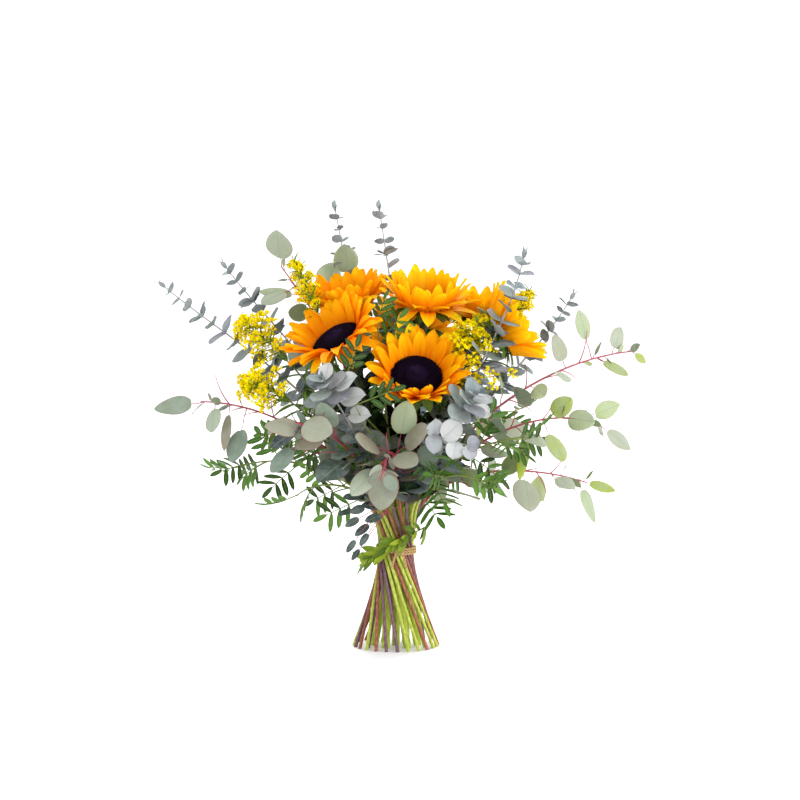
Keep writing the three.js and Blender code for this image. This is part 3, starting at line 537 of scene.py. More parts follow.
# %% Petal finish
def petal_finish():
    """Orange to gold along the petal, streaks in its grooves, deep orange as painted shade and pale gold as
    painted sunlight, a paler underside.
    """
    finish, tree, output, marks = new_finish("sunflower_petal_skin")
    colour = add(tree, "ValToRGB", {"Fac": marks["along"]},
                 stops=((0.0, "#F66400"), (0.22, "#FF9400"), (0.5, "#FFBE00"), (0.85, "#FFE014")))
    grooves = add(tree, "CombineXYZ", {
        key: add(tree, "Math", {0: marks[mark], 1: times}, operation="MULTIPLY")
        for key, (mark, times) in enumerate((("side", 5.0), ("along", 1.3), ("tint", 37.0)))})
    streak = add(tree, "TexNoise", {"Vector": grooves, "Scale": 1.0, "Detail": 3.0})
    colour = over(tree, colour, "#FFE018", streak, 0.42, 0.72, 0.6)
    # Painted light: a high tint paints shade in deep orange, a low tint paints sunlight in pale gold.
    colour = over(tree, colour, "#FF9000", marks["tint"], 0.3, 1.0, 0.5)
    colour = over(tree, colour, "#FFE62A", marks["tint"], 0.22, 0.0, 0.5)
    colour = over(tree, colour, "#FFCC10", marks["under"], 0.5, 0.9, 0.6)
    relief = add(tree, "Bump", {"Height": streak, "Distance": 0.5 * MM, "Strength": 0.6})
    show(tree, output, colour,
         {"Normal": relief, "Roughness": 0.55, "IOR": 1.4, "Specular IOR Level": 0.08}, glow=0.45)
    return finish


# Soft skin with no wax: hardly any shine, and nearly half of the light comes through, so that petals
# against the light seem to burn.
PETAL = petal_finish()
print("made", PETAL.name)

# %% [markdown]
# ### Leaves
#
# All the leaves share a build: a midrib, side veins that leave it at a slant, an edge and a paler
# underside. What differs is the colour, the wax and how much light comes through. A picture of a leaf
# could be wrapped on each. A pattern worked out from the marks fits every leaf, however it is bent.

# %% Leaf finish
WAX_SPOT = 14  # mm, the size of the clouds in the wax


def leaf_finish(name, colours, under, vein, edge, edge_share, veins, glow, roughness, bloom=0.0):
    """colours is a ramp over the tints, edge_share how wide the coloured edge is, veins how many side veins
    there are on each side, bloom the most wax. The side veins are a wave of along - 0.22 side."""
    finish, tree, output, marks = new_finish(name)
    place = add(tree, "TexCoord").outputs["Object"]
    cloud = add(tree, "TexNoise", {"Vector": place, "Scale": 1 / (WAX_SPOT * MM), "Detail": 4.0})
    aside = add(tree, "Math", {0: marks["side"]}, operation="ABSOLUTE")
    midrib = add(tree, "MapRange", {"Value": aside, "From Min": 0.1, "From Max": 0.03})
    slant = add(tree, "Math", {0: aside, 1: -0.22, 2: marks["along"]}, operation="MULTIPLY_ADD")
    wave = add(tree, "Math", {0: slant, 1: float(veins)}, operation="MULTIPLY")
    crest = add(tree, "Math", {0: wave, 1: 1.0}, operation="PINGPONG")
    side_vein = add(tree, "MapRange", {"Value": crest, "From Min": 0.2, "From Max": 0.0, "To Max": 0.45})
    net = add(tree, "Math", {0: midrib, 1: side_vein}, operation="MAXIMUM")
    colour = over(tree, ramp_of(tree, colours, marks["tint"]), "#BCC6C0", cloud, 0.4, 0.7, bloom)
    colour = over(tree, colour, vein, net, 0.0, 1.0, 0.5)
    colour = over(tree, colour, edge, aside, 1 - edge_share, 1.0)
    colour = over(tree, colour, under, marks["under"], 0.5, 0.9, 0.6)
    relief = add(tree, "Bump", {"Height": net, "Distance": -0.4 * MM, "Strength": 0.6})
    show(tree, output, colour, {"Normal": relief, "Roughness": roughness, "IOR": 1.45,
                                "Specular IOR Level": 0.45 * (1 - roughness)}, glow)
    return finish


print("clouds in the wax:", WAX_SPOT, "mm")

# %% The finish of each leaf
# Baby-blue eucalyptus: thick dull wax. It scatters the light, so the leaf is matt and blue-white. Its whitest
# tints paint sunlight on the twig of leaves in front.
BLUE_LEAF = leaf_finish("baby_blue_eucalyptus_leaf", ("#4A585C", "#748286", "#9CAA9E", "#9494A0", "#D2D3CE"),
                        "#8E989A", "#AAB2B0", "#8E868C", 0.05, veins=5, glow=0.15, roughness=0.8, bloom=0.6)
# Silver-dollar eucalyptus: thinner wax over slate to lime green, and a pink rim that draws each leaf. Its
# slate end also serves as painted shade and its lime end as painted sunlight, picked by where a sprig stands.
DOLLAR_LEAF = leaf_finish("silver_dollar_eucalyptus_leaf",
                          ("#465456", "#647A6E", "#90A28E", "#A09680", "#B4C0A8", "#A8BA3C"),
                          "#88967E", "#A6B090", "#A05048", 0.05, veins=8, glow=0.3, roughness=0.6, bloom=0.3)
# Lentisk: leathery with no wax bloom, so it is a deep green with a soft shine.
LENTISK_LEAF = leaf_finish("lentisk_leaflet", ("#2A4618", "#447024", "#649234"),
                           "#6E9444", "#A8C474", "#4C7028", 0.04, veins=9, glow=0.22, roughness=0.4)
# Ruscus on the waist twig: young and thin, bright yellow-green where light comes through.
VINE_LEAF = leaf_finish("ruscus_leaf", ("#56761E", "#86A42A", "#B0C434"),
                        "#A0B44E", "#C0D060", "#6E8C28", 0.04, veins=12, glow=0.35, roughness=0.4)
# Sunflower bract: rough leaf green, lighter than the shade behind the head.
BRACT = leaf_finish("sunflower_bract_leaf", ("#4E7228", "#6E8C34"),
                    "#86A04E", "#A8B870", "#5E7E2C", 0.1, veins=7, glow=0.25, roughness=0.6)
# Sunflower leaf: rough, and painted near black as the shade inside the bunch, so that the heads stand out.
STEM_LEAF_PAINTED_SHADE = leaf_finish("sunflower_leaf_painted_shade", ("#0E1A10", "#142414", "#203A1A"),
                        "#2C4426", "#3C5430", "#1A2C16", 0.03, veins=9, glow=0.2, roughness=0.65)
# Goldenrod leaf: thin and narrow, a fresh middle green.
ROD_LEAF = leaf_finish("goldenrod_leaf", ("#3C5818", "#54781E", "#6E9A28"),
                       "#64843A", "#94AC5C", "#56782A", 0.04, veins=6, glow=0.25, roughness=0.5)
print("leaf finishes:", *(leaf.name for leaf in (BLUE_LEAF, DOLLAR_LEAF, LENTISK_LEAF, VINE_LEAF,
                                                 BRACT, STEM_LEAF_PAINTED_SHADE, ROD_LEAF)))

# %% [markdown]
# ### Stems
#
# A stem is a skin with fine lines along it, drawn out by growth. A noise squeezed along the stem makes
# them. Real lines are a fifth of a millimetre apart, too fine to show, so they are drawn coarser.

# %% Stem finish
LINE_WIDTH, LINE_STRETCH = 5 / 3, 0.12  # mm across, and how much less the noise changes along the stem


def ribbed_finish(name, low, high, tip, roughness):
    """A stem's skin: two colours in lines along it, going over to a third towards its tip."""
    finish, tree, output, marks = new_finish(name)
    place = add(tree, "TexCoord").outputs["Object"]
    stretched = add(tree, "Mapping", {"Vector": place, "Scale": (1.0, 1.0, LINE_STRETCH)})
    lines = add(tree, "TexNoise", {"Vector": stretched, "Scale": 1 / (LINE_WIDTH * MM), "Detail": 2.0})
    colour = over(tree, linear(low), high, lines, 0.35, 0.65)
    # Over to the tip colour: on the sunflower stem this is painted shade among the leaves.
    colour = over(tree, colour, tip, marks["along"], 0.22, 0.55)
    relief = add(tree, "Bump", {"Height": lines, "Distance": 0.3 * MM, "Strength": 0.5})
    show(tree, output, colour, {"Normal": relief, "Roughness": roughness, "Specular IOR Level": 0.4})
    return finish


print("lines on a stem:", round(LINE_WIDTH, 1), "mm apart")

# %% The finish of each stem
# Sunflower stem: juicy lime, made brighter below as painted light, and going dark towards its tip as painted
# shade among the leaves.
FLOWER_STEM = ribbed_finish("sunflower_stem_skin", "#8CA624", "#C4D044", "#283A16", 0.55)
# Young red bark of the silver-dollar: brown-red at the foot and rose at the thin twigs.
TWIG_RED = ribbed_finish("eucalyptus_red_twig", "#74362A", "#A86446", "#A04650", 0.5)
# Waxed bark of the baby-blue: purple-brown that goes grey with the wax towards its tip.
TWIG_GREY = ribbed_finish("eucalyptus_grey_twig", "#5E3A44", "#7E6068", "#A09C9E", 0.6)
# Green woody twig of lentisk, goldenrod and ruscus: dull yellow-green.
TWIG_GREEN = ribbed_finish("green_woody_twig", "#94A032", "#C2CA58", "#6E7E34", 0.6)
print("stem finishes:", FLOWER_STEM.name, TWIG_RED.name, TWIG_GREY.name, TWIG_GREEN.name)

# %% [markdown]
# ### Florets, bristles and twine
#
# These are so small that one colour each is enough. What the eye sees is that no two are the same, so
# each takes its own place on a ramp.

# %% Finishes of the small parts
def tinted_finish(name, colours, roughness, glow=0.0):
    """Small parts, each with its own tint of a ramp."""
    finish, tree, output, marks = new_finish(name)
    colour = ramp_of(tree, colours, marks["tint"])
    show(tree, output, colour, {"Roughness": roughness, "Specular IOR Level": 0.08}, glow)
    return finish


# Disc florets: velvety and near black, with a violet bloom where the light grazes them.
DISC = tinted_finish("sunflower_disc_florets", ("#0A0010", "#110418", "#1A0A28", "#2A1C3C"), 0.8)
# Stem bristles: pale and clear, a frosted edge along the stem.
STEM_HAIR = tinted_finish("sunflower_stem_bristles", ("#B8C088", "#DCE0B8"), 0.5, 0.3)
# Goldenrod florets: pure yellow, and thin enough to glow.
ROD_FLORET = tinted_finish("goldenrod_floret", ("#DCE000", "#F8EA00", "#FFF214", "#FFE400"), 0.6, 0.45)
# Jute twine: dry plant fibre, dull and straw brown, with painted shade between its plies.
TWINE = tinted_finish("jute_twine", ("#8E7448", "#B49664", "#C8B084"), 0.9)
print("small finishes:", DISC.name, STEM_HAIR.name, ROD_FLORET.name, TWINE.name)

# %% [markdown]
# ## Sunflowers
#
# A head is three things: the disc, two rows of petals round it on a thin plate, and the green cup
# behind, which carries the bracts and goes over into the stem. Each head is known by the middle of
# its disc, the way it faces, its place in the ring of flower stems, and how far its petals stand up.

# %% The table of heads
# Name, middle of the disc, the way it faces, place in the ring of stems, how far the front row of petals
# stands up, how far down from there the back row stands, and how far petals at the front fall over.
SUNFLOWERS = (
    ("front", (25, -75, 332), (0.05, -0.79, 0.61), 5, 52, 14, 0),
    ("left", (-72, -48, 378), (-0.46, -0.42, 0.78), 4, 58, 14, 0.8),
    ("back_left", (-62, 44, 428), (-0.15, -0.3, 0.94), 3, 60, 20, 0),
    ("top", (36, -2, 425), (0.08, -0.33, 0.94), -1, 75, 55, 0.4),
    ("back_right", (108, 58, 414), (0.12, -0.15, 0.98), 1, 60, 20, 0),
    ("right", (130, -30, 388), (0.85, -0.1, 0.5), 0, 60, 14, 0),
    ("back", (18, 100, 385), (0.0, 0.87, 0.5), 2, 45, 14, 0),
)
PETAL_COUNT, PETAL_LENGTH, PETAL_WIDTH = 12, 41, 14
PLATE_RADIUS, CUP_RADIUS, DISC_RADIUS, DISC_DOME = 31, 24, 30, 8
PLATE_LEVELS = np.array([-0.3, -1.1, -1.9])
BOWL_BEHIND, BOWL_BEFORE, BOWL_RADIUS, BOWL_FLARE = 8, 44, 33, 0.45
print("heads:", len(SUNFLOWERS), "each", 2 * (PLATE_RADIUS + PETAL_LENGTH), "mm across with its petals flat")

# %% Round a head
def head_frame(at, facing):
    """A head's middle and its own directions: out of its face, and two across it."""
    out = unit(np.array(facing, float))
    across = square(np.cross(UP, out) + [0.01, 0, 0], out)
    return np.array(at, float), out, across, np.cross(out, across)


def spoke(head, degrees):
    """A direction in the plane of the disc: across cos a + up sin a."""
    a = np.radians(np.asarray(degrees, float))[..., None]
    return head[2] * np.cos(a) + head[3] * np.sin(a)


def rim_blades(head, degrees, radius, height, lift, sway, length, width, arch, tint, twist=0.0):
    """Blades that leave a rim: their direction is the swayed spoke, raised out of the disc by the lift."""
    n = len(degrees)
    centre, out = head[0], head[1]
    ray, b = spoke(head, degrees + sway), np.radians(np.broadcast_to(lift, n))[:, None]
    at = centre + spoke(head, degrees) * radius + out * np.reshape(height, (-1, 1))
    return leaf_set(at, ray * np.cos(b) + out * np.sin(b), out * np.cos(b) - ray * np.sin(b),
                    length, width, arch, tint, twist)


def out_of_bowls(leaves, reach=1.0):
    """The leaves whose middle line stays out of every flower. A flower's bowl goes from behind the disc's
    foot to before it, at a radius of 33 mm + 0.45 of that height."""
    points = blade_lines(leaves, np.linspace(0.15, reach, 9))
    clear = np.ones(len(points), bool)
    for _, at, facing, *_ in SUNFLOWERS:
        centre, out = head_frame(at, facing)[:2]
        height = dot(points - centre, out)
        radius = np.linalg.norm(points - centre - height * out, axis=-1, keepdims=True)
        inside = (height > -BOWL_BEHIND) & (height < BOWL_BEFORE)
        inside &= radius < BOWL_RADIUS + BOWL_FLARE * height
        clear &= ~inside.any(axis=(1, 2))
    return pick(leaves, clear)


for name, at, facing, *_ in SUNFLOWERS:
    print(name, "faces", np.round(head_frame(at, facing)[1], 2))

# %% [markdown]
# The petals stand in two rows, the back row lower and between those of the front row. The solid has
# twelve in each. As many again stand between and inside them here, each with its own length and bend,
# because a real head has forty or more and no gap shows through it.

# %% Where the petals stand
MORE_PETALS, WIDER_PETAL = 24, 1.32
FALL_DEGREES = 20
# Spread and offset of each head's petal tints: the offset paints shade on the front head and most on the
# heads on the left, and the top head's small spread paints it sunlit.
PETAL_TONE_AND_PAINTED_SHADE = {"top": (0.25, 0.0), "front": (0.6, 0.2), "left": (0.6, 0.4), "back_left": (0.6, 0.4)}
OTHER_TONE_AND_PAINTED_SHADE = (0.6, 0.0)


def rise(ray):
    """Degrees that petals stand up more: 6 z at the top of a head, -14 z at its bottom, where they cup."""
    return np.where(ray[:, 2] > 0, 6 * ray[:, 2], -14 * ray[:, 2])


def petal_sets(name, head, lift, drop, fall):
    """The petals of the solid, and others that stand between and inside them. A high tint is a deep orange
    that paints shade, a low one a pale gold that paints sunlight: the heads on the left have most painted
    shade, and the top one, the palest, the least."""
    sides = 2 * PETAL_COUNT
    side = np.arange(sides)
    row = side % 2
    i = (side - row) // 2
    degrees = 180 * (side + 0.5) / PETAL_COUNT
    ray = spoke(head, degrees)
    falls = fall * np.maximum(0, -ray[:, 1])
    petals = rim_blades(
        head, degrees, PLATE_RADIUS * np.cos(np.pi / sides), (PLATE_LEVELS[row] + PLATE_LEVELS[row + 1]) / 2,
        lift - drop * row + 3 * jitter(i, 11 + row) + rise(ray) - FALL_DEGREES * falls,
        5 * jitter(i, 7 + row),
        PETAL_LENGTH * (1 + 0.1 * jitter(i, 17 + row)), PETAL_WIDTH * (1 + 0.08 * jitter(i, 29 + row)),
        0.06 + 0.06 * row + 0.05 * jitter(i, 23 + row) + falls, golden(side, 0.31))
    hinge = np.cross(petals["dir"], petals["face"])
    step = np.where(row == 0, 12, -8)
    built = as_built(f"sunflower_{name}_petals", petals, hinge, [step * k for k in range(4)])
    k = np.arange(MORE_PETALS)
    inside = k % 2
    degrees = 360 * (k + 0.3) / MORE_PETALS + 5 * jitter(k, 3)
    ray = spoke(head, degrees)
    stands = inside * (fall == 0 or lift > 70)
    falls = fall * np.maximum(0, -ray[:, 1]) * (1 - stands)
    near = np.maximum(0, -ray[:, 1]) * stands
    between = (np.where(inside, 8, -drop / 2) + 5 * jitter(k, 5) + rise(ray) + 8 * near
               - FALL_DEGREES * falls)
    length = PETAL_LENGTH * (0.96 - 0.04 * inside - 0.2 * near + 0.1 * jitter(k, 9))
    more = rim_blades(head, degrees, PLATE_RADIUS - 0.6, -0.3 - 0.8 * (1 - inside), lift + between,
                      8 * jitter(k, 8), length, PETAL_WIDTH * (1.2 + 0.1 * jitter(k, 10)),
                      0.04 + 0.1 * jitter(k, 13) + falls, golden(k, 0.11), 12 * jitter(k, 15))
    sets = (dict(built, width=built["width"] * WIDER_PETAL), more)
    spread, shade = PETAL_TONE_AND_PAINTED_SHADE.get(name, OTHER_TONE_AND_PAINTED_SHADE)
    return [dict(petals, tint=spread * petals["tint"] + shade) for petals in sets]


print("petals of a head:", 2 * PETAL_COUNT + MORE_PETALS)

# %% Petals
PLATE_SIDES = 48


def petal_outline(s):
    """Widest two fifths of the way, and drawn to a point: 1.94 (s + 0.09)^0.5 (1 - s)^0.6."""
    return 1.94 * (s + 0.09) ** 0.5 * np.maximum(1 - s, 0) ** 0.6


def petal_relief(s, v, tint):
    """Two grooves that fade to the tip, edges that curl up, and a tip that dips: each petal its own."""
    return (0.06 * np.cos(3 * np.pi * v) * (1 - s) + (0.32 + 0.24 * (tint - 0.5)) * v * v
            + 0.16 * (tint - 0.5) * np.sin(5 * s + 9 * tint) * v - 0.1 * s)


def petals_piece(name, at, facing, place, lift, drop, fall):
    """The petals and the thin plate that they grow on, a disc whose rim is a little rounded."""
    head = head_frame(at, facing)
    shape = Shape()
    for petals in petal_sets(name, head, lift, drop, fall):
        blades(shape, petals, petal_outline, petal_relief, rows=9, steps=6, thick=0.7)
    levels = ((PLATE_RADIUS - 4, PLATE_LEVELS[2]), (PLATE_RADIUS, PLATE_LEVELS[2] + 0.3),
              (PLATE_RADIUS, PLATE_LEVELS[0] - 0.2), (PLATE_RADIUS - 3, PLATE_LEVELS[0]))
    round_way = spoke(head, 360 * np.arange(PLATE_SIDES) / PLATE_SIDES)
    rings = np.stack([head[0] + round_way * radius + head[1] * height for radius, height in levels])
    shape.loft(rings[None], (head[0] + head[1] * PLATE_LEVELS[2])[None],
               (head[0] + head[1] * PLATE_LEVELS[0])[None], tint=0.3)
    return make_piece(f"{name}_petals", shape, [PETAL], f"sunflower_{name}_petals")


print("a petal is widest at", round(PETAL_WIDTH * petal_outline(np.linspace(0, 1, 99)).max(), 1), "mm")

# %% [markdown]
# The disc holds about eight hundred florets. They sit where a sunflower grows them: each next one turns
# by the golden angle, and its distance from the middle goes with the square root of its number, so
# that they fill the disc evenly. The outer ones are open and stand up, the inner ones are buds.

# %% Disc
GOLDEN_ANGLE = 137.508
FLORETS = 820
DISC_SIDES, DISC_RIM, DISC_FOOT, FOOT_RADIUS, FLORET_DEPTH = 40, 3.2, 0.2, 28.5, 0.8
DISC_SHARES = np.array([0.99, 0.96, 0.85, 0.68, 0.48, 0.28, 0.1])


def dome(share):
    """Height of the disc over its foot: 3.2 + 8 (1 - s^3)(0.75 + 0.25 s), at s of the radius."""
    return DISC_RIM + DISC_DOME * (1 - share ** 3) * (0.75 + 0.25 * share)


def disc_piece(name, at, facing, *rest):
    """A dome a little under the florets' tops, and a five-sided tube for each floret: root + lean times its
    height. The lean grows with the fourth power of the share of the radius."""
    head = head_frame(at, facing)
    centre, out = head[0], head[1]
    shape = Shape()
    round_way = spoke(head, 360 * np.arange(DISC_SIDES) / DISC_SIDES)
    foot = centre + round_way * FOOT_RADIUS + out * DISC_FOOT
    heights = (dome(DISC_SHARES) - FLORET_DEPTH)[:, None, None]
    rings = centre + round_way * (DISC_RADIUS * DISC_SHARES)[:, None, None] + out * heights
    rings = np.concatenate([foot[None], rings])[None]
    shape.loft(rings, (centre + out * DISC_FOOT)[None], (centre + out * (dome(0.0) - FLORET_DEPTH))[None],
               tint=0.1)
    k = np.arange(FLORETS)
    share = np.sqrt((k + 0.5) / FLORETS)
    ray = spoke(head, GOLDEN_ANGLE * k)
    root = centre + ray * (DISC_RADIUS * share)[:, None] + out * (dome(share) - 1.1)[:, None]
    lean = unit(out + ray * (0.9 * share ** 4 - 0.1)[:, None])
    open_share = np.clip((share - 0.45) / 0.3, 0, 1)
    tall = 1.3 + 1.5 * open_share + 0.5 * jitter(k, 3)
    path = root[:, None] + lean[:, None] * (tall[:, None] * np.array([0, 0.55, 1.0]))[..., None]
    wide = np.stack([np.full(FLORETS, 0.75), 0.95 - 0.1 * open_share, 0.45 + 0.35 * open_share], axis=1)
    tint = np.clip(0.28 + 0.2 * jitter(k, 9) + 0.42 * (share < 0.42) - 0.2 * (share > 0.8), 0, 1)
    tubes(shape, path, wide[..., None], sides=5, side=tuple(head[2] + 0.01), tint=tint[:, None, None])
    return make_piece(f"{name}_florets", shape, [DISC], f"sunflower_{name}_disc", 35)


print("the disc stands", dome(0.0), "mm high in the middle and", dome(1.0), "at its rim")

# %% [markdown]
# Behind the petals two rows of green bracts hold the head on a cup, which narrows into the stem. The
# stem is covered with pale bristles, and its own broad leaves hang inside the bunch. The cup is a
# profile turned round the way the head faces.

# %% Bracts and leaves of a sunflower
BRACT_DROP, BRACT_COUNT, BRACT_LENGTH = 28, 8, 25
STEM_LEAVES = 14


def bract_outline(s):
    """Broad at the root and drawn out to a point: (1 - s)^0.8 (0.75 + 1.4 s)."""
    return np.maximum(1 - s, 0) ** 0.8 * (0.75 + 1.4 * s)


def bract_relief(s, v, tint):
    """Folded up along the midrib, with the tip turned back."""
    return 0.25 * np.abs(v) * (1 - s) - 0.5 * s * s


def past_stalk(s):
    """How far along the blade itself a share of the whole leaf is: (s - 0.24) / 0.76."""
    return np.clip((s - STALK_SHARE) / (1 - STALK_SHARE), 0, 1)


def heart_outline(s):
    """A broad heart-shaped leaf: 1.95 (t + 0.03)^0.4 (1 - t)^0.85, with t the share past its stalk."""
    t = past_stalk(s)
    return 1.95 * (t + 0.03) ** 0.4 * (1 - t) ** 0.85


def crinkled_relief(s, v, tint):
    """Sides that fold up, sag to the tip, and pucker between the side veins."""
    return (0.22 * np.abs(v) - 0.35 * s * s + 0.05 * np.sin(26 * s) * np.abs(v)
            + 0.1 * np.sin(7 * s + 20 * tint) * v)


def stem_leaves(stem, place):
    """The stem's own broad leaves, painted near black as the shade inside the bunch."""
    k = np.arange(STEM_LEAVES)
    return leaves_on(stem, 0.08 + 0.045 * k, TURN * k + 80 * place + 40, 48 + 10 * jitter(k, place + 3),
                     68 - 2 * k, 46 - 1.3 * k, 0.12, golden(k, 0.3 * place))


def bract_rows(head, lift):
    """Two rows of bracts: half a place on or not, how many, how far down, and their length and width."""
    for start, count, down, length, wide in ((0.5, BRACT_COUNT, 0, BRACT_LENGTH, 17),
                                             (0.0, 2 * BRACT_COUNT, 7, 0.85 * BRACT_LENGTH, 11)):
        i = np.arange(count)
        degrees = 360 * (i + start) / count
        raised = min(lift - BRACT_DROP, 0) - down + 3 * jitter(i, 3) + 3 * spoke(head, degrees)[:, 2]
        yield rim_blades(head, degrees, CUP_RADIUS - 2 - down / 3, np.full(count, -3.3 - down / 4), raised,
                         8 * jitter(i, 6), length, wide, 0.12 + 0.1 * jitter(i, 5), golden(i, 0.2))


print("bracts of a head:", 3 * BRACT_COUNT)

# %% Bristles
HAIR_COUNT, HAIR_LENGTH, HAIR_ROOT, HAIR_LEAN = 700, 1.9, 3.9, 0.3
HAIR_TAPER = np.array([0.17, 0.11, 0.04])


def stem_hairs(shape, path):
    """The stem's bristles, even along it and a golden angle apart round it. A bristle goes out and turns up:
    middle + ray (root + L t) + along 0.3 L t t."""
    k = np.arange(HAIR_COUNT)
    way = length_along(path)
    place = np.interp((0.03 + 0.95 * (k + 0.5) / HAIR_COUNT) * way[-1], way, np.arange(len(path)))
    low = np.minimum(place.astype(int), len(path) - 2)
    part = (place - low)[:, None]
    middle = path[low] * (1 - part) + path[low + 1] * part
    along = unit(path[low + 1] - path[low])
    across = square(np.broadcast_to([0.31, 0.17, 0.05], along.shape), along)
    ray = turned(across, along, GOLDEN_ANGLE * k)
    t = np.array([0, 0.5, 1.0])[:, None]
    hairs = (middle[:, None] + ray[:, None] * (HAIR_ROOT + HAIR_LENGTH * t)
             + along[:, None] * HAIR_LEAN * HAIR_LENGTH * t * t)
    tubes(shape, hairs, HAIR_TAPER[:, None], sides=3, skin=3)


print("bristles:", HAIR_COUNT * len(SUNFLOWERS))

# %% Stem and cup
CUP_DEPTH, CUP_RIM = 18.5, 2.4
CUP_PROFILE = np.array([(4.0, CUP_DEPTH), (4.6, 14.5), (7, 12), (11, 9.6), (15.5, 7.4), (20, 5.6),
                        (CUP_RADIUS, 4.2), (CUP_RADIUS, CUP_RIM)])  # radius, and depth behind the disc
NECK_DEPTH, STEM_SIDES, RIB_DEPTH = 17, 16, 0.035


def flower_stem_piece(name, at, facing, place, lift, *rest):
    """The ribbed stem, r (1 +- 0.035) in turn round it, with bristles, cup, bracts and its own leaves."""
    head = head_frame(at, facing)
    centre, out = head[0], head[1]
    node = f"sunflower_{name}_stem"
    radius = 0 if place < 0 else FLOWER_RING
    neck = centre - out * NECK_DEPTH
    stem = stem_of(radius, 360 / FLOWER_PLACES * place + SPIRAL_LEAD, neck, facing, 0.42, 0.28)
    shape = Shape()
    path = stem_path(stem)
    ribs = 1 + RIB_DEPTH * np.cos(np.pi * np.arange(STEM_SIDES))
    thick = np.linspace(STEM_RADIUS, NECK_RADIUS, len(path))[:, None] * ribs
    tubes(shape, path[None], thick[None], sides=STEM_SIDES, level=True, side=tuple(head[2] + 0.01))
    stem_hairs(shape, path)
    round_way = spoke(head, 360 * np.arange(24) / 24)
    rings = (centre + round_way * CUP_PROFILE[:, 0, None, None] - out * CUP_PROFILE[:, 1, None, None])[None]
    shape.loft(rings, (centre - out * CUP_DEPTH)[None], (centre - out * CUP_RIM)[None], along=0.6)
    for bracts in bract_rows(head, lift):
        blades(shape, bracts, bract_outline, bract_relief, rows=6, steps=4, thick=0.6, skin=1)
    leaves = out_of_bowls(stem_leaves(stem, place))
    stalks(shape, leaves, radius=1.1)
    blades(shape, leaves, heart_outline, crinkled_relief, rows=12, steps=6, skin=2, start=STALK_SHARE)
    finishes = [FLOWER_STEM, BRACT, STEM_LEAF_PAINTED_SHADE, STEM_HAIR]
    return make_piece(f"{name}_flower_stem", shape, finishes, node)


total = sum(make(*flower) for flower in SUNFLOWERS for make in (petals_piece, disc_piece, flower_stem_piece))
print("sunflowers:", total, "triangles")

# %% [markdown]
# ## The sprigs
#
# Thirty sprigs fill the bunch, each in its own place of the waist. A row says the name, which starts
# with the kind, where the tip is, and where it points. Its place in the table is its place in the
# ring. One row also says how strongly the curve is pulled at its two ends.

# %% The table of sprigs
OUTER = (
    ("dollar_low_right", (240, 15, 202), (1, 0.1, -0.35)),
    ("dollar_right", (300, 30, 368), (1, 0, 0.1)),
    ("blue_right", (228, 65, 440), (0.5, 0.15, 0.85)),
    ("lentisk_back_right", (160, 150, 290), (0.7, 0.6, -0.1)),
    ("goldenrod_back", (98, 165, 400), (0.4, 0.6, 0.5)),
    ("blue_back", (20, 195, 440), (0.05, 0.45, 0.9)),
    ("dollar_back", (-110, 175, 350), (-0.5, 0.7, 0.3)),
    ("lentisk_back_left", (-150, 140, 260), (-0.7, 0.6, -0.2)),
    ("dollar_high_left", (-150, 80, 480), (-0.6, 0.1, 0.8)),
    ("blue_high_left", (-222, 60, 480), (-0.6, 0, 0.8)),
    ("blue_left", (-294, 10, 451), (-0.76, 0, 0.65)),
    ("goldenrod_left", (-196, -15, 408), (-0.7, -0.1, 0.5)),
    ("lentisk_left", (-196, -16, 222), (-0.9, 0, -0.4)),
    ("dollar_left", (-236, -60, 304), (-1, -0.1, 0)),
    ("goldenrod_front_left", (-184, -84, 330), (-0.8, -0.3, 0.2)),
    ("lentisk_low_left", (-118, -86, 192), (-0.7, -0.3, -0.65)),
    ("dollar_front_left", (-118, -118, 280), (-0.8, -0.5, 0.1)),
    ("blue_front_left", (-84, -128, 330), (-0.35, -0.6, 0.7)),
    ("dollar_low", (-18, -128, 212), (-0.2, -0.6, -0.8), 0.38, 0.85),
    ("blue_front_right", (92, -124, 312), (0.35, -0.6, 0.7)),
    ("lentisk_low_right", (98, -100, 212), (0.7, -0.5, -0.4)),
    ("lentisk_right", (150, -92, 262), (0.9, -0.3, 0.1)),
    ("blue_high_right", (152, -92, 478), (0.15, -0.3, 0.94)),
    ("dollar_front_right", (248, -50, 276), (0.9, 0, -0.4)),
)
INNER = (
    ("goldenrod_high_right", (172, 20, 450), (0.5, 0, 0.86)),
    ("blue_crown", (-22, 70, 555), (-0.15, 0.1, 0.98)),
    ("blue_top", (-82, 122, 562), (-0.2, 0.1, 0.98)),
    ("goldenrod_high", (-130, -4, 486), (-0.45, 0, 0.88)),
    ("lentisk_middle", (-22, -56, 394), (-0.1, -0.2, 0.97)),
    ("goldenrod_right", (100, -62, 404), (0.3, -0.4, 0.85)),
)
print("sprigs:", len(OUTER), "in the outer ring,", len(INNER), "in the inner one")

# %% Their stems
def all_sprigs():
    """Each sprig's name, its seed, which is its number in the table, and its stem."""
    for k, (name, *way) in enumerate(OUTER):
        yield name, k + 1, stem_of(OUTER_RING, 360 / OUTER_PLACES * k + SPIRAL_LEAD, *way)
    for k, (name, *way) in enumerate(INNER):
        azimuth = 360 / FLOWER_PLACES * (k + 0.5) + SPIRAL_LEAD
        yield name, len(OUTER) + k + 1, stem_of(INNER_RING, azimuth, *way)


def stem_tube(shape, stem, until=1.0, tip=0.8):
    """The stem, thinner towards its tip, r (1 + 0.06 cos 2.1 k), so that it swells where leaves leave it."""
    path = stem_path(stem, until)
    thick = np.concatenate([np.full(STRAIGHT_ROWS, SPRIG_RADIUS),
                            np.linspace(SPRIG_RADIUS, tip, len(path) - STRAIGHT_ROWS)])
    thick = thick * (1 + 0.06 * np.cos(np.arange(len(path)) * 2.1))
    tubes(shape, path[None], thick[None, :, None], level=True)


